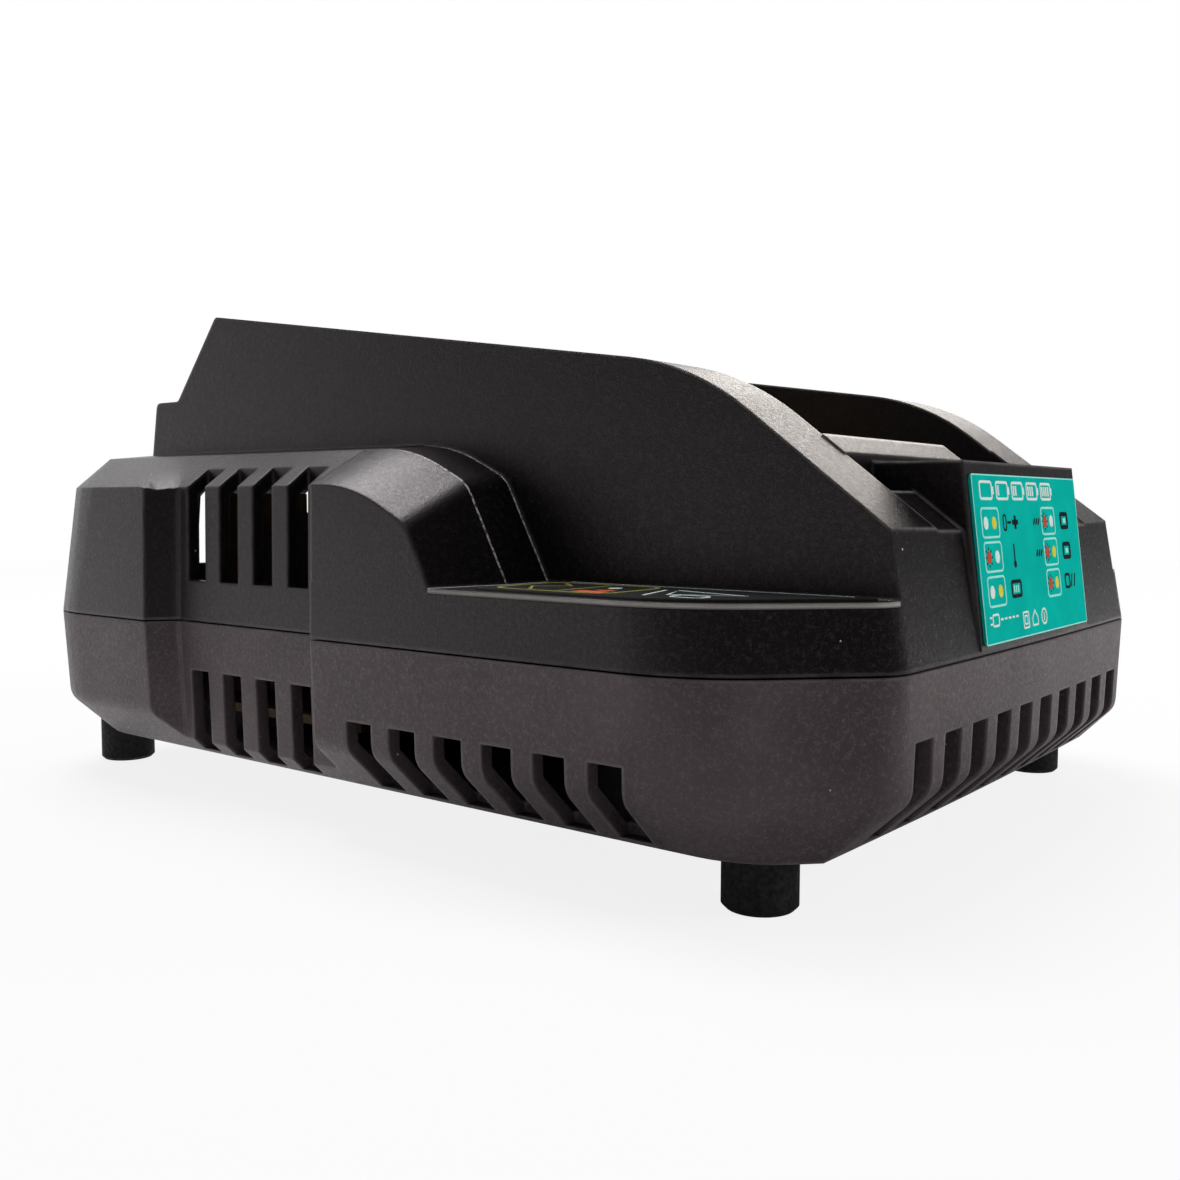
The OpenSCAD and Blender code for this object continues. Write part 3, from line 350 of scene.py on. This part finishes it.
def moulded(name, deep, pale, edge, roughness, grain_mm=0.35, relief_mm=0.03, fleck=0.35,
            edge_round_mm=0.5, dust=0.0, specular=0.35, sheen_tint=(1.0, 0.86, 0.90),
            upper_glint=None, glint_line=None):
    """Moulded plastic: eroded grain, mottled colour, edges rounded and made paler by wear and a
    painted highlight, painted highlight lines where given, and dust.
    """
    material, tree, shader = new_material(name)
    normal = add(tree, "ShaderNodeBevel", {"Radius": edge_round_mm * MM},
                 samples=BEVEL_SAMPLES).outputs[0]
    grain = add(tree, "ShaderNodeGroup", {"Size": grain_mm * MM}, node_tree=grain_group).outputs
    wear_and_glint = add(tree, "ShaderNodeGroup", {"Rounded": normal}, node_tree=edge_group).outputs
    tone = blended(tree, grain["Mottle"], colour(*deep), colour(*pale))
    flecks = math_node(tree, "MULTIPLY", grain["Fleck"], fleck)
    tone = blended(tree, flecks, tone, colour(*[FLECK_TONE * c for c in edge]))
    # Paler edges: partly wear, partly a painted highlight
    tone = blended(tree, wear_and_glint["Edge"], tone, colour(*edge))
    # A painted highlight on the up-facing edges of the front part
    if upper_glint:
        tone = blended(tree, wear_and_glint["Upper"], tone, colour(*upper_glint))
    # Painted highlight lines along the nose creases and on the ledge rim
    if glint_line:
        lines = add(tree, "ShaderNodeGroup", node_tree=crease_group).outputs
        rim = add(tree, "ShaderNodeGroup", {"Normal": normal}, node_tree=rim_group).outputs
        normal = rim["Normal"]
        for mask in (lines["Glint Line"], rim["Glint Line"]):
            tone = blended(tree, mask, tone, colour(*glint_line))
    if dust:
        specks = add(tree, "ShaderNodeGroup", {"Share": dust}, node_tree=dust_group).outputs
        tone = blended(tree, specks["Dust"], tone, colour(*DUST_COLOUR))
    rough = spread(tree, grain["Height"], *NOISE_SPAN,
                   roughness + GRAIN_SWING, roughness - GRAIN_SWING)
    bump = add(tree, "ShaderNodeBump", {
        "Height": grain["Height"], "Distance": relief_mm * MM,
        "Strength": 1.0, "Normal": normal})
    set_inputs(tree, shader, Base_Color=tone, Roughness=rough, Normal=bump.outputs[0],
               Specular_IOR_Level=specular, Specular_Tint=colour(*sheen_tint))
    return material


def speckled(name, first, second, roughness=0.5, metallic=0.0, grain_mm=0.6, relief_mm=0.02,
             coat=0.0, specular=0.5, stretch=(1, 1, 1), transmission=0.0):
    """A plain finish with a second tone and a light relief, both from one stretched noise."""
    material, tree, shader = new_material(name)
    drawn = add(tree, "ShaderNodeMapping", {
        "Vector": object_place(tree), "Scale": stretch}).outputs[0]
    height = noise(tree, drawn, 1.0 / (grain_mm * MM), Detail=3.0)
    tone = blended(tree, spread(tree, height, *NOISE_MIDDLE), colour(*first), colour(*second))
    rough = spread(tree, height, *NOISE_SPAN, roughness + PLAIN_SWING, roughness - PLAIN_SWING)
    bump = add(tree, "ShaderNodeBump", {"Height": height, "Distance": relief_mm * MM})
    set_inputs(tree, shader, Base_Color=tone, Roughness=rough, Normal=bump.outputs[0],
               Metallic=metallic, Coat_Weight=coat, Specular_IOR_Level=specular,
               Transmission_Weight=transmission)
    return material


lower_plastic = moulded("lower_shell_grain", (0.052, 0.039, 0.044), (0.082, 0.062, 0.067),
                        (0.15, 0.13, 0.13), 0.44, grain_mm=0.29, relief_mm=0.1, fleck=0.6,
                        dust=0.12, specular=0.5, edge_round_mm=0.8)
# The last two colours paint highlights: on up-facing front edges, and as lines on the creases
# and the ledge rim
upper_plastic = moulded("upper_shell_grain", (0.0026, 0.0019, 0.0030),
                        (0.0054, 0.0038, 0.0050), (0.05, 0.046, 0.044), 0.35, grain_mm=0.28,
                        relief_mm=0.065, fleck=0.5, dust=0.25, specular=0.5,
                        edge_round_mm=0.9, upper_glint=(0.2, 0.19, 0.18),
                        glint_line=(0.6, 0.57, 0.53))
fan_plastic = moulded("fan_black", (0.014, 0.014, 0.015), (0.02, 0.02, 0.022),
                      (0.05, 0.05, 0.05), 0.4, relief_mm=0.01)
rubber = speckled("foot_rubber", (0.012, 0.011, 0.012), (0.026, 0.024, 0.024), 0.75,
                  grain_mm=0.8, relief_mm=0.03, specular=0.25)
gland_rubber = speckled("gland_rubber", (0.012, 0.012, 0.012), (0.02, 0.02, 0.02), 0.7)
teal = speckled("teal_film", (0.004, 0.42, 0.36), (0.005, 0.48, 0.41), 0.6, grain_mm=6,
                relief_mm=0.004, specular=0.0)
dark_film = speckled("dark_film", (0.010, 0.010, 0.011), (0.018, 0.017, 0.018), 0.4,
                     grain_mm=1.5, relief_mm=0.004, coat=0.2)
clear = speckled("light_pipe", (0.5, 0.55, 0.55), (0.6, 0.62, 0.62), 0.2, relief_mm=0.002,
                 transmission=0.8)
green_board = speckled("green_board", (0.015, 0.09, 0.035), (0.02, 0.13, 0.05), 0.4,
                       grain_mm=3)
# The board's colours are darkened as painted shade, since it lies inside the housing
brown_board = speckled("brown_board", (0.08, 0.045, 0.02), (0.13, 0.08, 0.035), 0.6,
                       grain_mm=1.2)
red_lens = speckled("red_lens", (0.55, 0.03, 0.02), (0.6, 0.06, 0.03), 0.3)
amber = speckled("amber_block", (0.50, 0.32, 0.02), (0.58, 0.38, 0.04), 0.45)
brass = speckled("contact_strip", (0.70, 0.52, 0.25), (0.80, 0.62, 0.33), 0.3, 1.0,
                 stretch=(1, 8, 1))
red_wire = speckled("red_insulation", (0.38, 0.015, 0.015), (0.45, 0.02, 0.02), 0.5)
ferrite = speckled("ferrite", (0.035, 0.035, 0.04), (0.055, 0.055, 0.06), 0.6)
copper = speckled("enamelled_copper", (0.50, 0.19, 0.06), (0.62, 0.28, 0.10), 0.35, 0.9,
                  stretch=(1, 1, 12))
sleeve = speckled("capacitor_sleeve", (0.012, 0.02, 0.06), (0.018, 0.03, 0.085), 0.35,
                  coat=0.3)
mill_aluminium = speckled("mill_aluminium", (0.60, 0.61, 0.63), (0.72, 0.73, 0.75), 0.38, 1.0,
                          stretch=(0.15, 1, 6))
black_epoxy = speckled("black_epoxy", (0.012, 0.012, 0.012), (0.02, 0.02, 0.02), 0.5)
choke_green = speckled("choke_coating", (0.06, 0.09, 0.04), (0.09, 0.12, 0.06), 0.5)
yellow_box = speckled("yellow_box", (0.55, 0.36, 0.02), (0.62, 0.42, 0.03), 0.35, coat=0.3)
fuse_glass = speckled("fuse_glass", (0.75, 0.8, 0.8), (0.8, 0.84, 0.84), 0.12,
                      relief_mm=0.001)
zinc = speckled("zinc_plate", (0.5, 0.51, 0.52), (0.62, 0.63, 0.65), 0.35, 1.0)
pale_box = speckled("pale_box", (0.55, 0.55, 0.52), (0.65, 0.65, 0.62), 0.45)

finish_of = {
    "base_shell": lower_plastic, "top_shell": upper_plastic,
    "foot_front_left": rubber, "foot_front_right": rubber, "foot_rear_left": rubber,
    "foot_rear_right": rubber, "front_label": teal, "ledge_label": dark_film,
    "light_pipes": clear, "indicator_board": green_board, "indicator_leds": red_lens,
    "terminal_block": amber, "power_contacts": brass, "signal_contacts": brass,
    "output_leads": red_wire, "main_board": brown_board, "control_board": green_board,
    "transformer_core": ferrite, "transformer_coil": copper, "bulk_capacitor": sleeve,
    "output_capacitors": sleeve, "primary_heat_sink": mill_aluminium,
    "power_transistor": black_epoxy, "bridge_rectifier": black_epoxy,
    "output_heat_sink": mill_aluminium, "output_rectifier": black_epoxy,
    "line_choke": choke_green, "choke_winding": copper, "x_capacitor": yellow_box,
    "fuse": fuse_glass, "fuse_clips": zinc, "relay": pale_box, "buzzer": black_epoxy,
    "fan_frame": fan_plastic, "fan_stator": copper, "fan_rotor": fan_plastic,
    "cord_gland": gland_rubber, "board_screws": zinc, "housing_screws": zinc}


def dress(piece, material):
    """Puts the material on the whole piece."""
    if piece.material_slots:
        for place in piece.material_slots:
            place.material = material
    else:
        piece.data.materials.append(material)


for node_name, material in finish_of.items():
    dress(nodes[node_name], material)


# ---- Shells with smooth corners ----
# Points closer than this are one point
WELD = 1e-6
# Points this near the ledge's height lie at it, and points this near the seam's lie there
AT_LEDGE, AT_SEAM = 1e-5, 1e-3
# A facet's own edge leans aside by less than this, and a point goes down this share of it
FACET_LEAN, CORNER_FALL = 0.0025, 0.34
# Points this near the plane of a crease lie on it
CREASE_WIDTH = 0.0003
SHARP_DEGREES = 12.5
# How much more a large face's normal counts than a small one's, of 100
FLAT_WEIGHT = 60


def on_nose_crease(edge):
    """Whether the edge lies on the crease between a vent block's bevel and its crown."""
    return all(abs(abs(v.co.x) - CROWN_OUT_X) < CREASE_WIDTH and v.co.z > LEDGE_Z + HAIR
               and NOSE_Y[0] < v.co.y < NOSE_Y[1] for v in edge.verts)


def ease_rear_corners(work):
    """Takes the tops of the rear corners' finer facets, at the ledge's height, down along their
    own edges, so that the narrow shelves below the coarser facets turn into slopes."""
    for vert in work.verts:
        if abs(vert.co.z - LEDGE_Z) < AT_LEDGE and vert.co.y > REAR_Y:
            ends = [edge.other_vert(vert).co for edge in vert.link_edges]
            feet = [end for end in ends if abs(end.z - SEAM_Z) < AT_SEAM
                    and (end - vert.co).xy.length < FACET_LEAN]
            if feet:
                foot = min(feet, key=lambda end: (end - vert.co).length)
                vert.co = vert.co.lerp(foot, CORNER_FALL)


def joined_shell(node_name):
    """The node's own solid with its loose triangles merged and the normals of each corner's
    facets blended, while edges sharper than SHARP_DEGREES stay sharp."""
    source = nodes[node_name]
    mesh = source.data.copy()
    mesh.name = node_name + "_shell"
    piece = bpy.data.objects.new(node_name + "_body", mesh)
    bpy.context.scene.collection.objects.link(piece)
    work = bmesh.new()
    work.from_mesh(mesh)
    bmesh.ops.remove_doubles(work, verts=work.verts, dist=WELD)
    if node_name == "top_shell":
        ease_rear_corners(work)
    limit = math.radians(SHARP_DEGREES)
    for edge in work.edges:
        edge.smooth = (len(edge.link_faces) == 2 and edge.calc_face_angle(0.0) < limit
                       and not on_nose_crease(edge))
    for face in work.faces:
        face.smooth = True
    work.to_mesh(mesh)
    work.free()
    if mesh.has_custom_normals:
        with bpy.context.temp_override(object=piece, active_object=piece):
            bpy.ops.mesh.customdata_custom_splitnormals_clear()
    weighted = piece.modifiers.new("flat_faces_first", "WEIGHTED_NORMAL")
    weighted.keep_sharp = True
    weighted.mode = "FACE_AREA"
    weighted.weight = FLAT_WEIGHT
    dress(piece, finish_of[node_name])
    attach(piece, "charger")
    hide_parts(node_name)
    return piece


joined_shell("top_shell")
joined_shell("base_shell")


# ---- Printed marks ----
# A mark stands this far out of its film, and reaches this far into it
MARK_RISE_MM, MARK_ROOT_MM = 0.05, 0.03
DISC_POINTS, CORNER_POINTS, STROKE_POINTS = 28, 6, 4


def ink(kind, first, second, roughness=0.5, specular=0.1):
    """A printing ink: a matt colour with a fine second tone."""
    return speckled(kind + "_ink", first, second, roughness, grain_mm=0.5, relief_mm=0.003,
                    specular=specular)


ink_of = {
    "white": ink("white", (0.66, 0.80, 0.76), (0.76, 0.88, 0.84)),
    "yellow": ink("yellow", (0.62, 0.62, 0.04), (0.72, 0.70, 0.07)),
    "red": ink("red", (0.50, 0.045, 0.03), (0.60, 0.08, 0.05)),
    "dark": ink("dark", (0.003, 0.008, 0.009), (0.005, 0.014, 0.014), roughness=0.6),
    "orange": ink("orange", (0.75, 0.14, 0.05), (0.85, 0.20, 0.08)),
    "lime": ink("lime", (0.30, 0.30, 0.08), (0.42, 0.40, 0.14)),
    "mint": ink("mint", (0.32, 0.80, 0.72), (0.40, 0.86, 0.78), specular=0.05)}


class Print:
    """Thin raised marks on a flat face, drawn in millimetres: u to the right and v up."""

    def __init__(self, centre, right, up):
        self.centre, self.right, self.up = (np.array(v, float) for v in (centre, right, up))
        self.out = np.cross(self.right, self.up)
        self.points, self.faces, self.count = [], [], 0

    def _keep(self, flat, levels, faces):
        """Places points: centre + u * right + v * up + height * out, where the height is the
        rise or the root, by level 1 or 0, and moves face indices on."""
        flat = np.asarray(flat, float)
        heights = np.where(np.asarray(levels), MARK_RISE_MM, -MARK_ROOT_MM)
        offset = (flat[:, :1] * self.right + flat[:, 1:] * self.up
                  + heights[:, None] * self.out)
        self.points.append(self.centre + MM * offset)
        self.faces += [tuple(int(i) + self.count for i in face) for face in faces]
        self.count += len(flat)

    def band(self, line, width, closed=False):
        """A line with a rectangular section: each point moved half the width to either side
        along the mean normal of its two neighbours, at both heights."""
        line = np.asarray(line, float)
        if closed:
            along = np.roll(line, -1, 0) - np.roll(line, 1, 0)
        else:
            along = np.gradient(line, axis=0)
        along /= np.linalg.norm(along, axis=1)[:, None]
        aside = np.stack([-along[:, 1], along[:, 0]], 1) * width / 2
        n = len(line)
        # The section's four corners, each with n points: left and right above, then below
        flat = np.concatenate([line + aside, line - aside, line - aside, line + aside])
        faces = []
        for k in range(4):
            here, after = k * n, (k + 1) % 4 * n
            faces += [(here + i, here + (i + 1) % n, after + (i + 1) % n, after + i)
                      for i in range(n if closed else n - 1)]
        if not closed:
            faces += [(0, n, 2 * n, 3 * n), (4 * n - 1, 3 * n - 1, 2 * n - 1, n - 1)]
        self._keep(flat, np.repeat([1, 1, 0, 0], n), [face[::-1] for face in faces])

    def stroke(self, start, end, width=0.3):
        """A straight band with a few even points along it."""
        share = np.linspace(0, 1, STROKE_POINTS)[:, None]
        self.band(np.array(start) * (1 - share) + np.array(end) * share, width)

    def outline(self, u, v, w, h, r, width=0.3):
        """A closed band along a rectangle whose corners are quarter circles of radius r."""
        turn = np.radians(np.linspace(0, 90, CORNER_POINTS))
        corners = [(w / 2 - r, h / 2 - r, 0), (r - w / 2, h / 2 - r, 90),
                   (r - w / 2, r - h / 2, 180), (w / 2 - r, r - h / 2, 270)]
        line = np.concatenate([np.stack([u + a + r * np.cos(turn + math.radians(t)),
                                         v + b + r * np.sin(turn + math.radians(t))], 1)
                               for a, b, t in corners])
        self.band(line, width, closed=True)

    def disc(self, u, v, ru, rv=None):
        """A disc or an oval: a patch whose rim has points at even angles."""
        turn = np.arange(DISC_POINTS) * 2 * math.pi / DISC_POINTS
        self.patch(np.stack([u + ru * np.cos(turn), v + (rv or ru) * np.sin(turn)], 1))

    def patch(self, rim):
        """A flat patch inside a convex rim that runs anticlockwise: the rim at both heights,
        closed by its two flat faces."""
        rim = np.asarray(rim, float)
        n = len(rim)
        faces = [tuple(range(n)), tuple(range(2 * n - 1, n - 1, -1))]
        faces += [(i, n + i, n + (i + 1) % n, (i + 1) % n) for i in range(n)]
        self._keep(np.concatenate([rim, rim]), np.repeat([1, 0], n), faces)

    def box(self, u0, v0, u1, v1):
        """A rectangular patch from its lower left to its upper right corner."""
        self.patch([(u0, v0), (u1, v0), (u1, v1), (u0, v1)])

    def finish(self, name, material):
        """The marks so far as one piece that rides on the charger."""
        mesh = bpy.data.meshes.new(name)
        mesh.from_pydata(np.concatenate(self.points).tolist(), [], self.faces)
        mesh.validate()
        mesh.update()
        piece = bpy.data.objects.new(name, mesh)
        bpy.context.scene.collection.objects.link(piece)
        dress(piece, material)
        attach(piece, "charger")
        return piece


# ---- Label on the front ----
LABEL_LEAN = math.atan(0.126)
FILM_MM = 0.4
# Width and height of the mint line round the film, its corners' radius and its own width
BORDER_MM = (49.74, 25.74, 0.3, 0.2)
ROWS_V = (5.45, 0.2, -5.1)
# Each column of frames: its middle, its frames' width, its dots' places and their colours
COLUMNS = (
    (-18.7, 7.3, (-20.6, -17.1), (("white", "yellow"), ("red", "white"), ("white", "yellow"))),
    (8.6, 6.8, (6.9, 10.2), (("red", "white"), ("red", "yellow"), ("red", "yellow"))))
# A dot's two radii, and where the rays round a red one start and end
DOT_RADII, RAY_ENDS = (0.95, 1.0), (1.1, 1.55)


def draw_frames(marks):
    """Six mint frames round pairs of dots, and eight dark rays round each red dot."""
    for u, width, dots_u, kinds in COLUMNS:
        for v, pair in zip(ROWS_V, kinds):
            marks["mint"].outline(u, v + 0.05, width, 4.45, 0.7, 0.34)
            for dot_u, kind in zip(dots_u, pair):
                marks[kind].disc(dot_u, v, *DOT_RADII)
                if kind == "red":
                    for turn in np.radians(np.arange(0, 360, 45)):
                        ray = np.array([math.cos(turn), math.sin(turn)])
                        inner, outer = (ray * reach + (dot_u, v) for reach in RAY_ENDS)
                        marks["dark"].stroke(inner, outer, 0.22)


def draw_signs(dark, mint):
    """Dark signs beside the frames, with mint fillings, row by row."""
    top, middle, bottom = ROWS_V
    # A bulb, an arrow and a plus
    dark.outline(-12.4, top, 1.3, 2.4, 0.6, 0.35)
    dark.stroke((-11.2, top), (-9.6, top), 0.4)
    dark.stroke((-9.0, top), (-6.4, top), 0.8)
    dark.stroke((-7.7, top - 1.1), (-7.7, top + 1.1), 0.8)
    # A thermometer
    dark.stroke((-9.4, middle - 1.2), (-9.4, middle + 1.8), 0.45)
    dark.disc(-9.4, middle - 1.4, 0.6)
    # A charged battery
    dark.outline(-9.9, bottom, 4.2, 2.3, 0.4, 0.6)
    for step in (-1.1, -0.2, 0.7):
        mint.box(-9.9 + step - 0.2, bottom - 0.55, -9.9 + step + 0.25, bottom + 0.55)
    # Waves before the right-hand frames, and batteries behind them
    for v in (top, middle):
        for u in (1.1, 2.2, 3.3):
            dark.stroke((u, v - 0.5), (u + 0.8, v + 0.5), 0.45)
        dark.outline(17.2, v, 3.6, 2.3, 0.4, 0.75)
        mint.box(16.6, v - 0.4, 17.9, v + 0.4)
    # A battery with two slanted strokes
    dark.outline(16.1, bottom, 2.4, 2.2, 0.4, 0.5)
    for u in (18.0, 19.6):
        dark.stroke((u, bottom - 1.1), (u + 0.9, bottom + 1.1), 0.4)


def draw_white(white):
    """White signs: batteries filling up along the top, and a row of plain signs below."""
    for count in range(5):
        u = -19.4 + 7.0 * count
        white.outline(u, 10.5, 5.0, 2.6, 0.5, 0.42)
        white.box(u + 2.75, 9.9, u + 3.3, 11.1)
        for step in range(count):
            white.box(u - 1.95 + step, 9.7, u - 1.35 + step, 11.3)
    # A plug with its two pins and its broken lead
    white.outline(-20.3, -9.4, 2.6, 1.7, 0.4, 0.32)
    for v in (-9.9, -8.9):
        white.stroke((-22.8, v), (-21.6, v), 0.3)
    for dash in range(5):
        white.stroke((-18.2 + 1.7 * dash, -9.4), (-17.2 + 1.7 * dash, -9.4), 0.32)
    # A square in a square, a house on its floor, and a ring with a bar
    white.outline(-6.9, -10.3, 2.5, 2.5, 0.2, 0.3)
    white.outline(-6.9, -10.3, 1.3, 1.3, 0.15, 0.28)
    white.band([(-3.9, -11.5), (-3.9, -10.2), (-2.6, -9.0), (-1.3, -10.2), (-1.3, -11.5)], 0.32)
    white.stroke((-4.0, -11.4), (-1.2, -11.4), 0.32)
    turn = np.radians(np.linspace(0, 345, 24))
    ring = np.stack([1.9 + 1.25 * np.cos(turn), -10.3 + 1.25 * np.sin(turn)], 1)
    white.band(ring, 0.32, closed=True)
    white.stroke((1.9, -11.0), (1.9, -9.6), 0.3)


def label_prints():
    """All marks of the front label, on its leaning face."""
    low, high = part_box("front_label")
    out = Vector((0, -math.cos(LABEL_LEAN), math.sin(LABEL_LEAN)))
    up = Vector((0, math.sin(LABEL_LEAN), math.cos(LABEL_LEAN)))
    centre = (low + high) / 2 + out * (FILM_MM / 2) * MM
    marks = {kind: Print(centre, (1, 0, 0), up)
             for kind in ("white", "yellow", "red", "dark", "mint")}
    marks["mint"].outline(0, 0, *BORDER_MM)
    draw_frames(marks)
    draw_signs(marks["dark"], marks["mint"])
    draw_white(marks["white"])
    for kind, drawn in marks.items():
        drawn.finish("label_" + kind, ink_of[kind])


label_prints()


# ---- Label on the near ledge ----
def ledge_prints():
    """Marks on the dark label of the near ledge: a frame round a bar and a dot, a sign like a
    tag, and a thin line along the wall. u is x, and v the distance from the body's front."""
    low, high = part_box("ledge_label")
    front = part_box("base_shell")[0].y
    marks = {kind: Print((0, front, high.z), (1, 0, 0), (0, 1, 0))
             for kind in ("white", "lime", "orange")}
    white, lime, orange = marks.values()
    lime.outline(-62.2, 48.0, 15.5, 21.0, 3.0, 0.7)
    lime.stroke((-69.0, 46.5), (-56.0, 46.5), 0.5)
    orange.box(-69.0, 38.9, -66.3, 44.2)
    orange.box(-65.2, 39.4, -64.0, 42.6)
    white.disc(-60.0, 42.8, 1.3, 1.0)
    lime.band([(-68.5, 52.0), (-64.0, 55.5), (-60.0, 51.0), (-56.5, 55.0)], 0.6)
    white.band([(-65.0, 30.0), (-60.7, 20.0), (-57.7, 33.0)], 0.7, closed=True)
    white.outline(-66.2, 25.5, 3.4, 5.0, 1.2, 0.5)
    white.stroke((-68.0, 32.0), (-58.0, 35.0), 0.5)
    white.stroke((-52.6, 57.0), (-52.6, 8.0), 0.22)
    for kind, drawn in marks.items():
        drawn.finish("ledge_" + kind, ink_of[kind])


ledge_prints()


# ---- Room ----
# The surround's light on matt faces
AMBIENT = 0.22
# What glossy faces mirror of the surround away from its white side, and the way to that side
DIM = 0.06
WHITE_SIDE = (0.407, 0.914, 0.0)
FLOOR_REACH = 6.0
# Within the first distance the floor glows by this share, so that a soft shadow stays, and
# past the second it is plain white
SHADOW_REACH, GLOW_SHARE = (0.3, 1.2), 0.85


def toward_white(tree, way):
    """The cosine of the angle between a way and the way to the white side."""
    return vector_node(tree, "DOT_PRODUCT", "Value", way, WHITE_SIDE)


def make_floor():
    """A white floor that keeps a soft shadow near the object. A camera, glossy or transmission
    ray sees it glow as white, and to glossy rays that glow fades toward the front."""
    paint, tree, shader = new_material("white_floor")
    set_inputs(tree, shader, Base_Color=colour(0.9, 0.9, 0.9), Roughness=0.9,
               Specular_IOR_Level=0.1)
    path = add(tree, "ShaderNodeLightPath").outputs
    seen = chained(tree, "MAXIMUM", path["Is Camera Ray"], path["Is Glossy Ray"],
                   path["Is Transmission Ray"])
    place = object_place(tree)
    away = vector_node(tree, "LENGTH", "Value", place)
    plain = spread(tree, away, *SHADOW_REACH, GLOW_SHARE, 1.0)
    way = vector_node(tree, "NORMALIZE", "Vector", place)
    mirrored = spread(tree, toward_white(tree, way), -0.8, -0.1, 0.15, 1.0)
    not_glossy = math_node(tree, "SUBTRACT", 1.0, path["Is Glossy Ray"])
    glow = add(tree, "ShaderNodeEmission", {
        "Color": colour(1, 1, 1), "Strength": math_node(tree, "MAXIMUM", mirrored, not_glossy)})
    mixed = add(tree, "ShaderNodeMixShader", {
        0: math_node(tree, "MULTIPLY", seen, plain), 1: shader.outputs[0], 2: glow.outputs[0]})
    feed(tree, tree.nodes["Material Output"].inputs["Surface"], mixed.outputs[0])
    mesh = bpy.data.meshes.new("floor")
    mesh.from_pydata([(-FLOOR_REACH, -FLOOR_REACH, 0), (FLOOR_REACH, -FLOOR_REACH, 0),
                      (FLOOR_REACH, FLOOR_REACH, 0), (-FLOOR_REACH, FLOOR_REACH, 0)],
                     [], [(0, 1, 2, 3)])
    piece = bpy.data.objects.new("floor", mesh)
    bpy.context.scene.collection.objects.link(piece)
    dress(piece, paint)


def make_surround():
    """A surround that the camera sees as white and that lights matt faces by AMBIENT. Its
    reflection fades away from the white side and toward the top, as black cards make it."""
    world = bpy.data.worlds.new("surround")
    bpy.context.scene.world = world
    world.use_nodes = True
    tree = world.node_tree
    path = add(tree, "ShaderNodeLightPath").outputs
    way = add(tree, "ShaderNodeTexCoord").outputs["Generated"]
    beside = spread(tree, toward_white(tree, way), 0.15, 0.85, DIM, 1.0)
    above = spread(tree, axes(tree, way)["Z"], 0.5, 0.75, 1.0, DIM)
    mirrored = math_node(tree, "MULTIPLY", path["Is Glossy Ray"],
                         math_node(tree, "MULTIPLY", beside, above))
    scattered = math_node(tree, "MULTIPLY", path["Is Diffuse Ray"], AMBIENT)
    strength = chained(tree, "MAXIMUM", path["Is Camera Ray"], path["Is Transmission Ray"],
                       mirrored, scattered)
    set_inputs(tree, tree.nodes["Background"], Color=colour(1, 1, 1), Strength=strength)


def lamp(name, place, target, size, power, tint=(1.0, 1.0, 1.0), in_reflections=True):
    """A rectangular lamp that faces its target."""
    light = bpy.data.lights.new(name, "AREA")
    light.shape, light.size, light.size_y = "RECTANGLE", *size
    light.energy, light.color = power, tint
    piece = bpy.data.objects.new(name, light)
    piece.location = place
    piece.rotation_euler = (Vector(target) - Vector(place)).to_track_quat("-Z", "Y").to_euler()
    piece.visible_glossy = in_reflections
    bpy.context.scene.collection.objects.link(piece)


make_floor()
make_surround()
lamp("overhead_lamp", (0.08, 0.38, 1.03), (0, 0, 0.05), (0.48, 0.85), 9.5)
lamp("right_lamp", (1.08, 0.27, 0.62), (0, 0, 0.05), (0.55, 0.4), 2.6, tint=(1.0, 0.94, 0.87))
lamp("front_lamp", (0.62, -0.95, 0.34), (0, -0.05, 0.04), (0.5, 0.4), 6, in_reflections=False)

bpy.context.scene.view_settings.view_transform = "Standard"
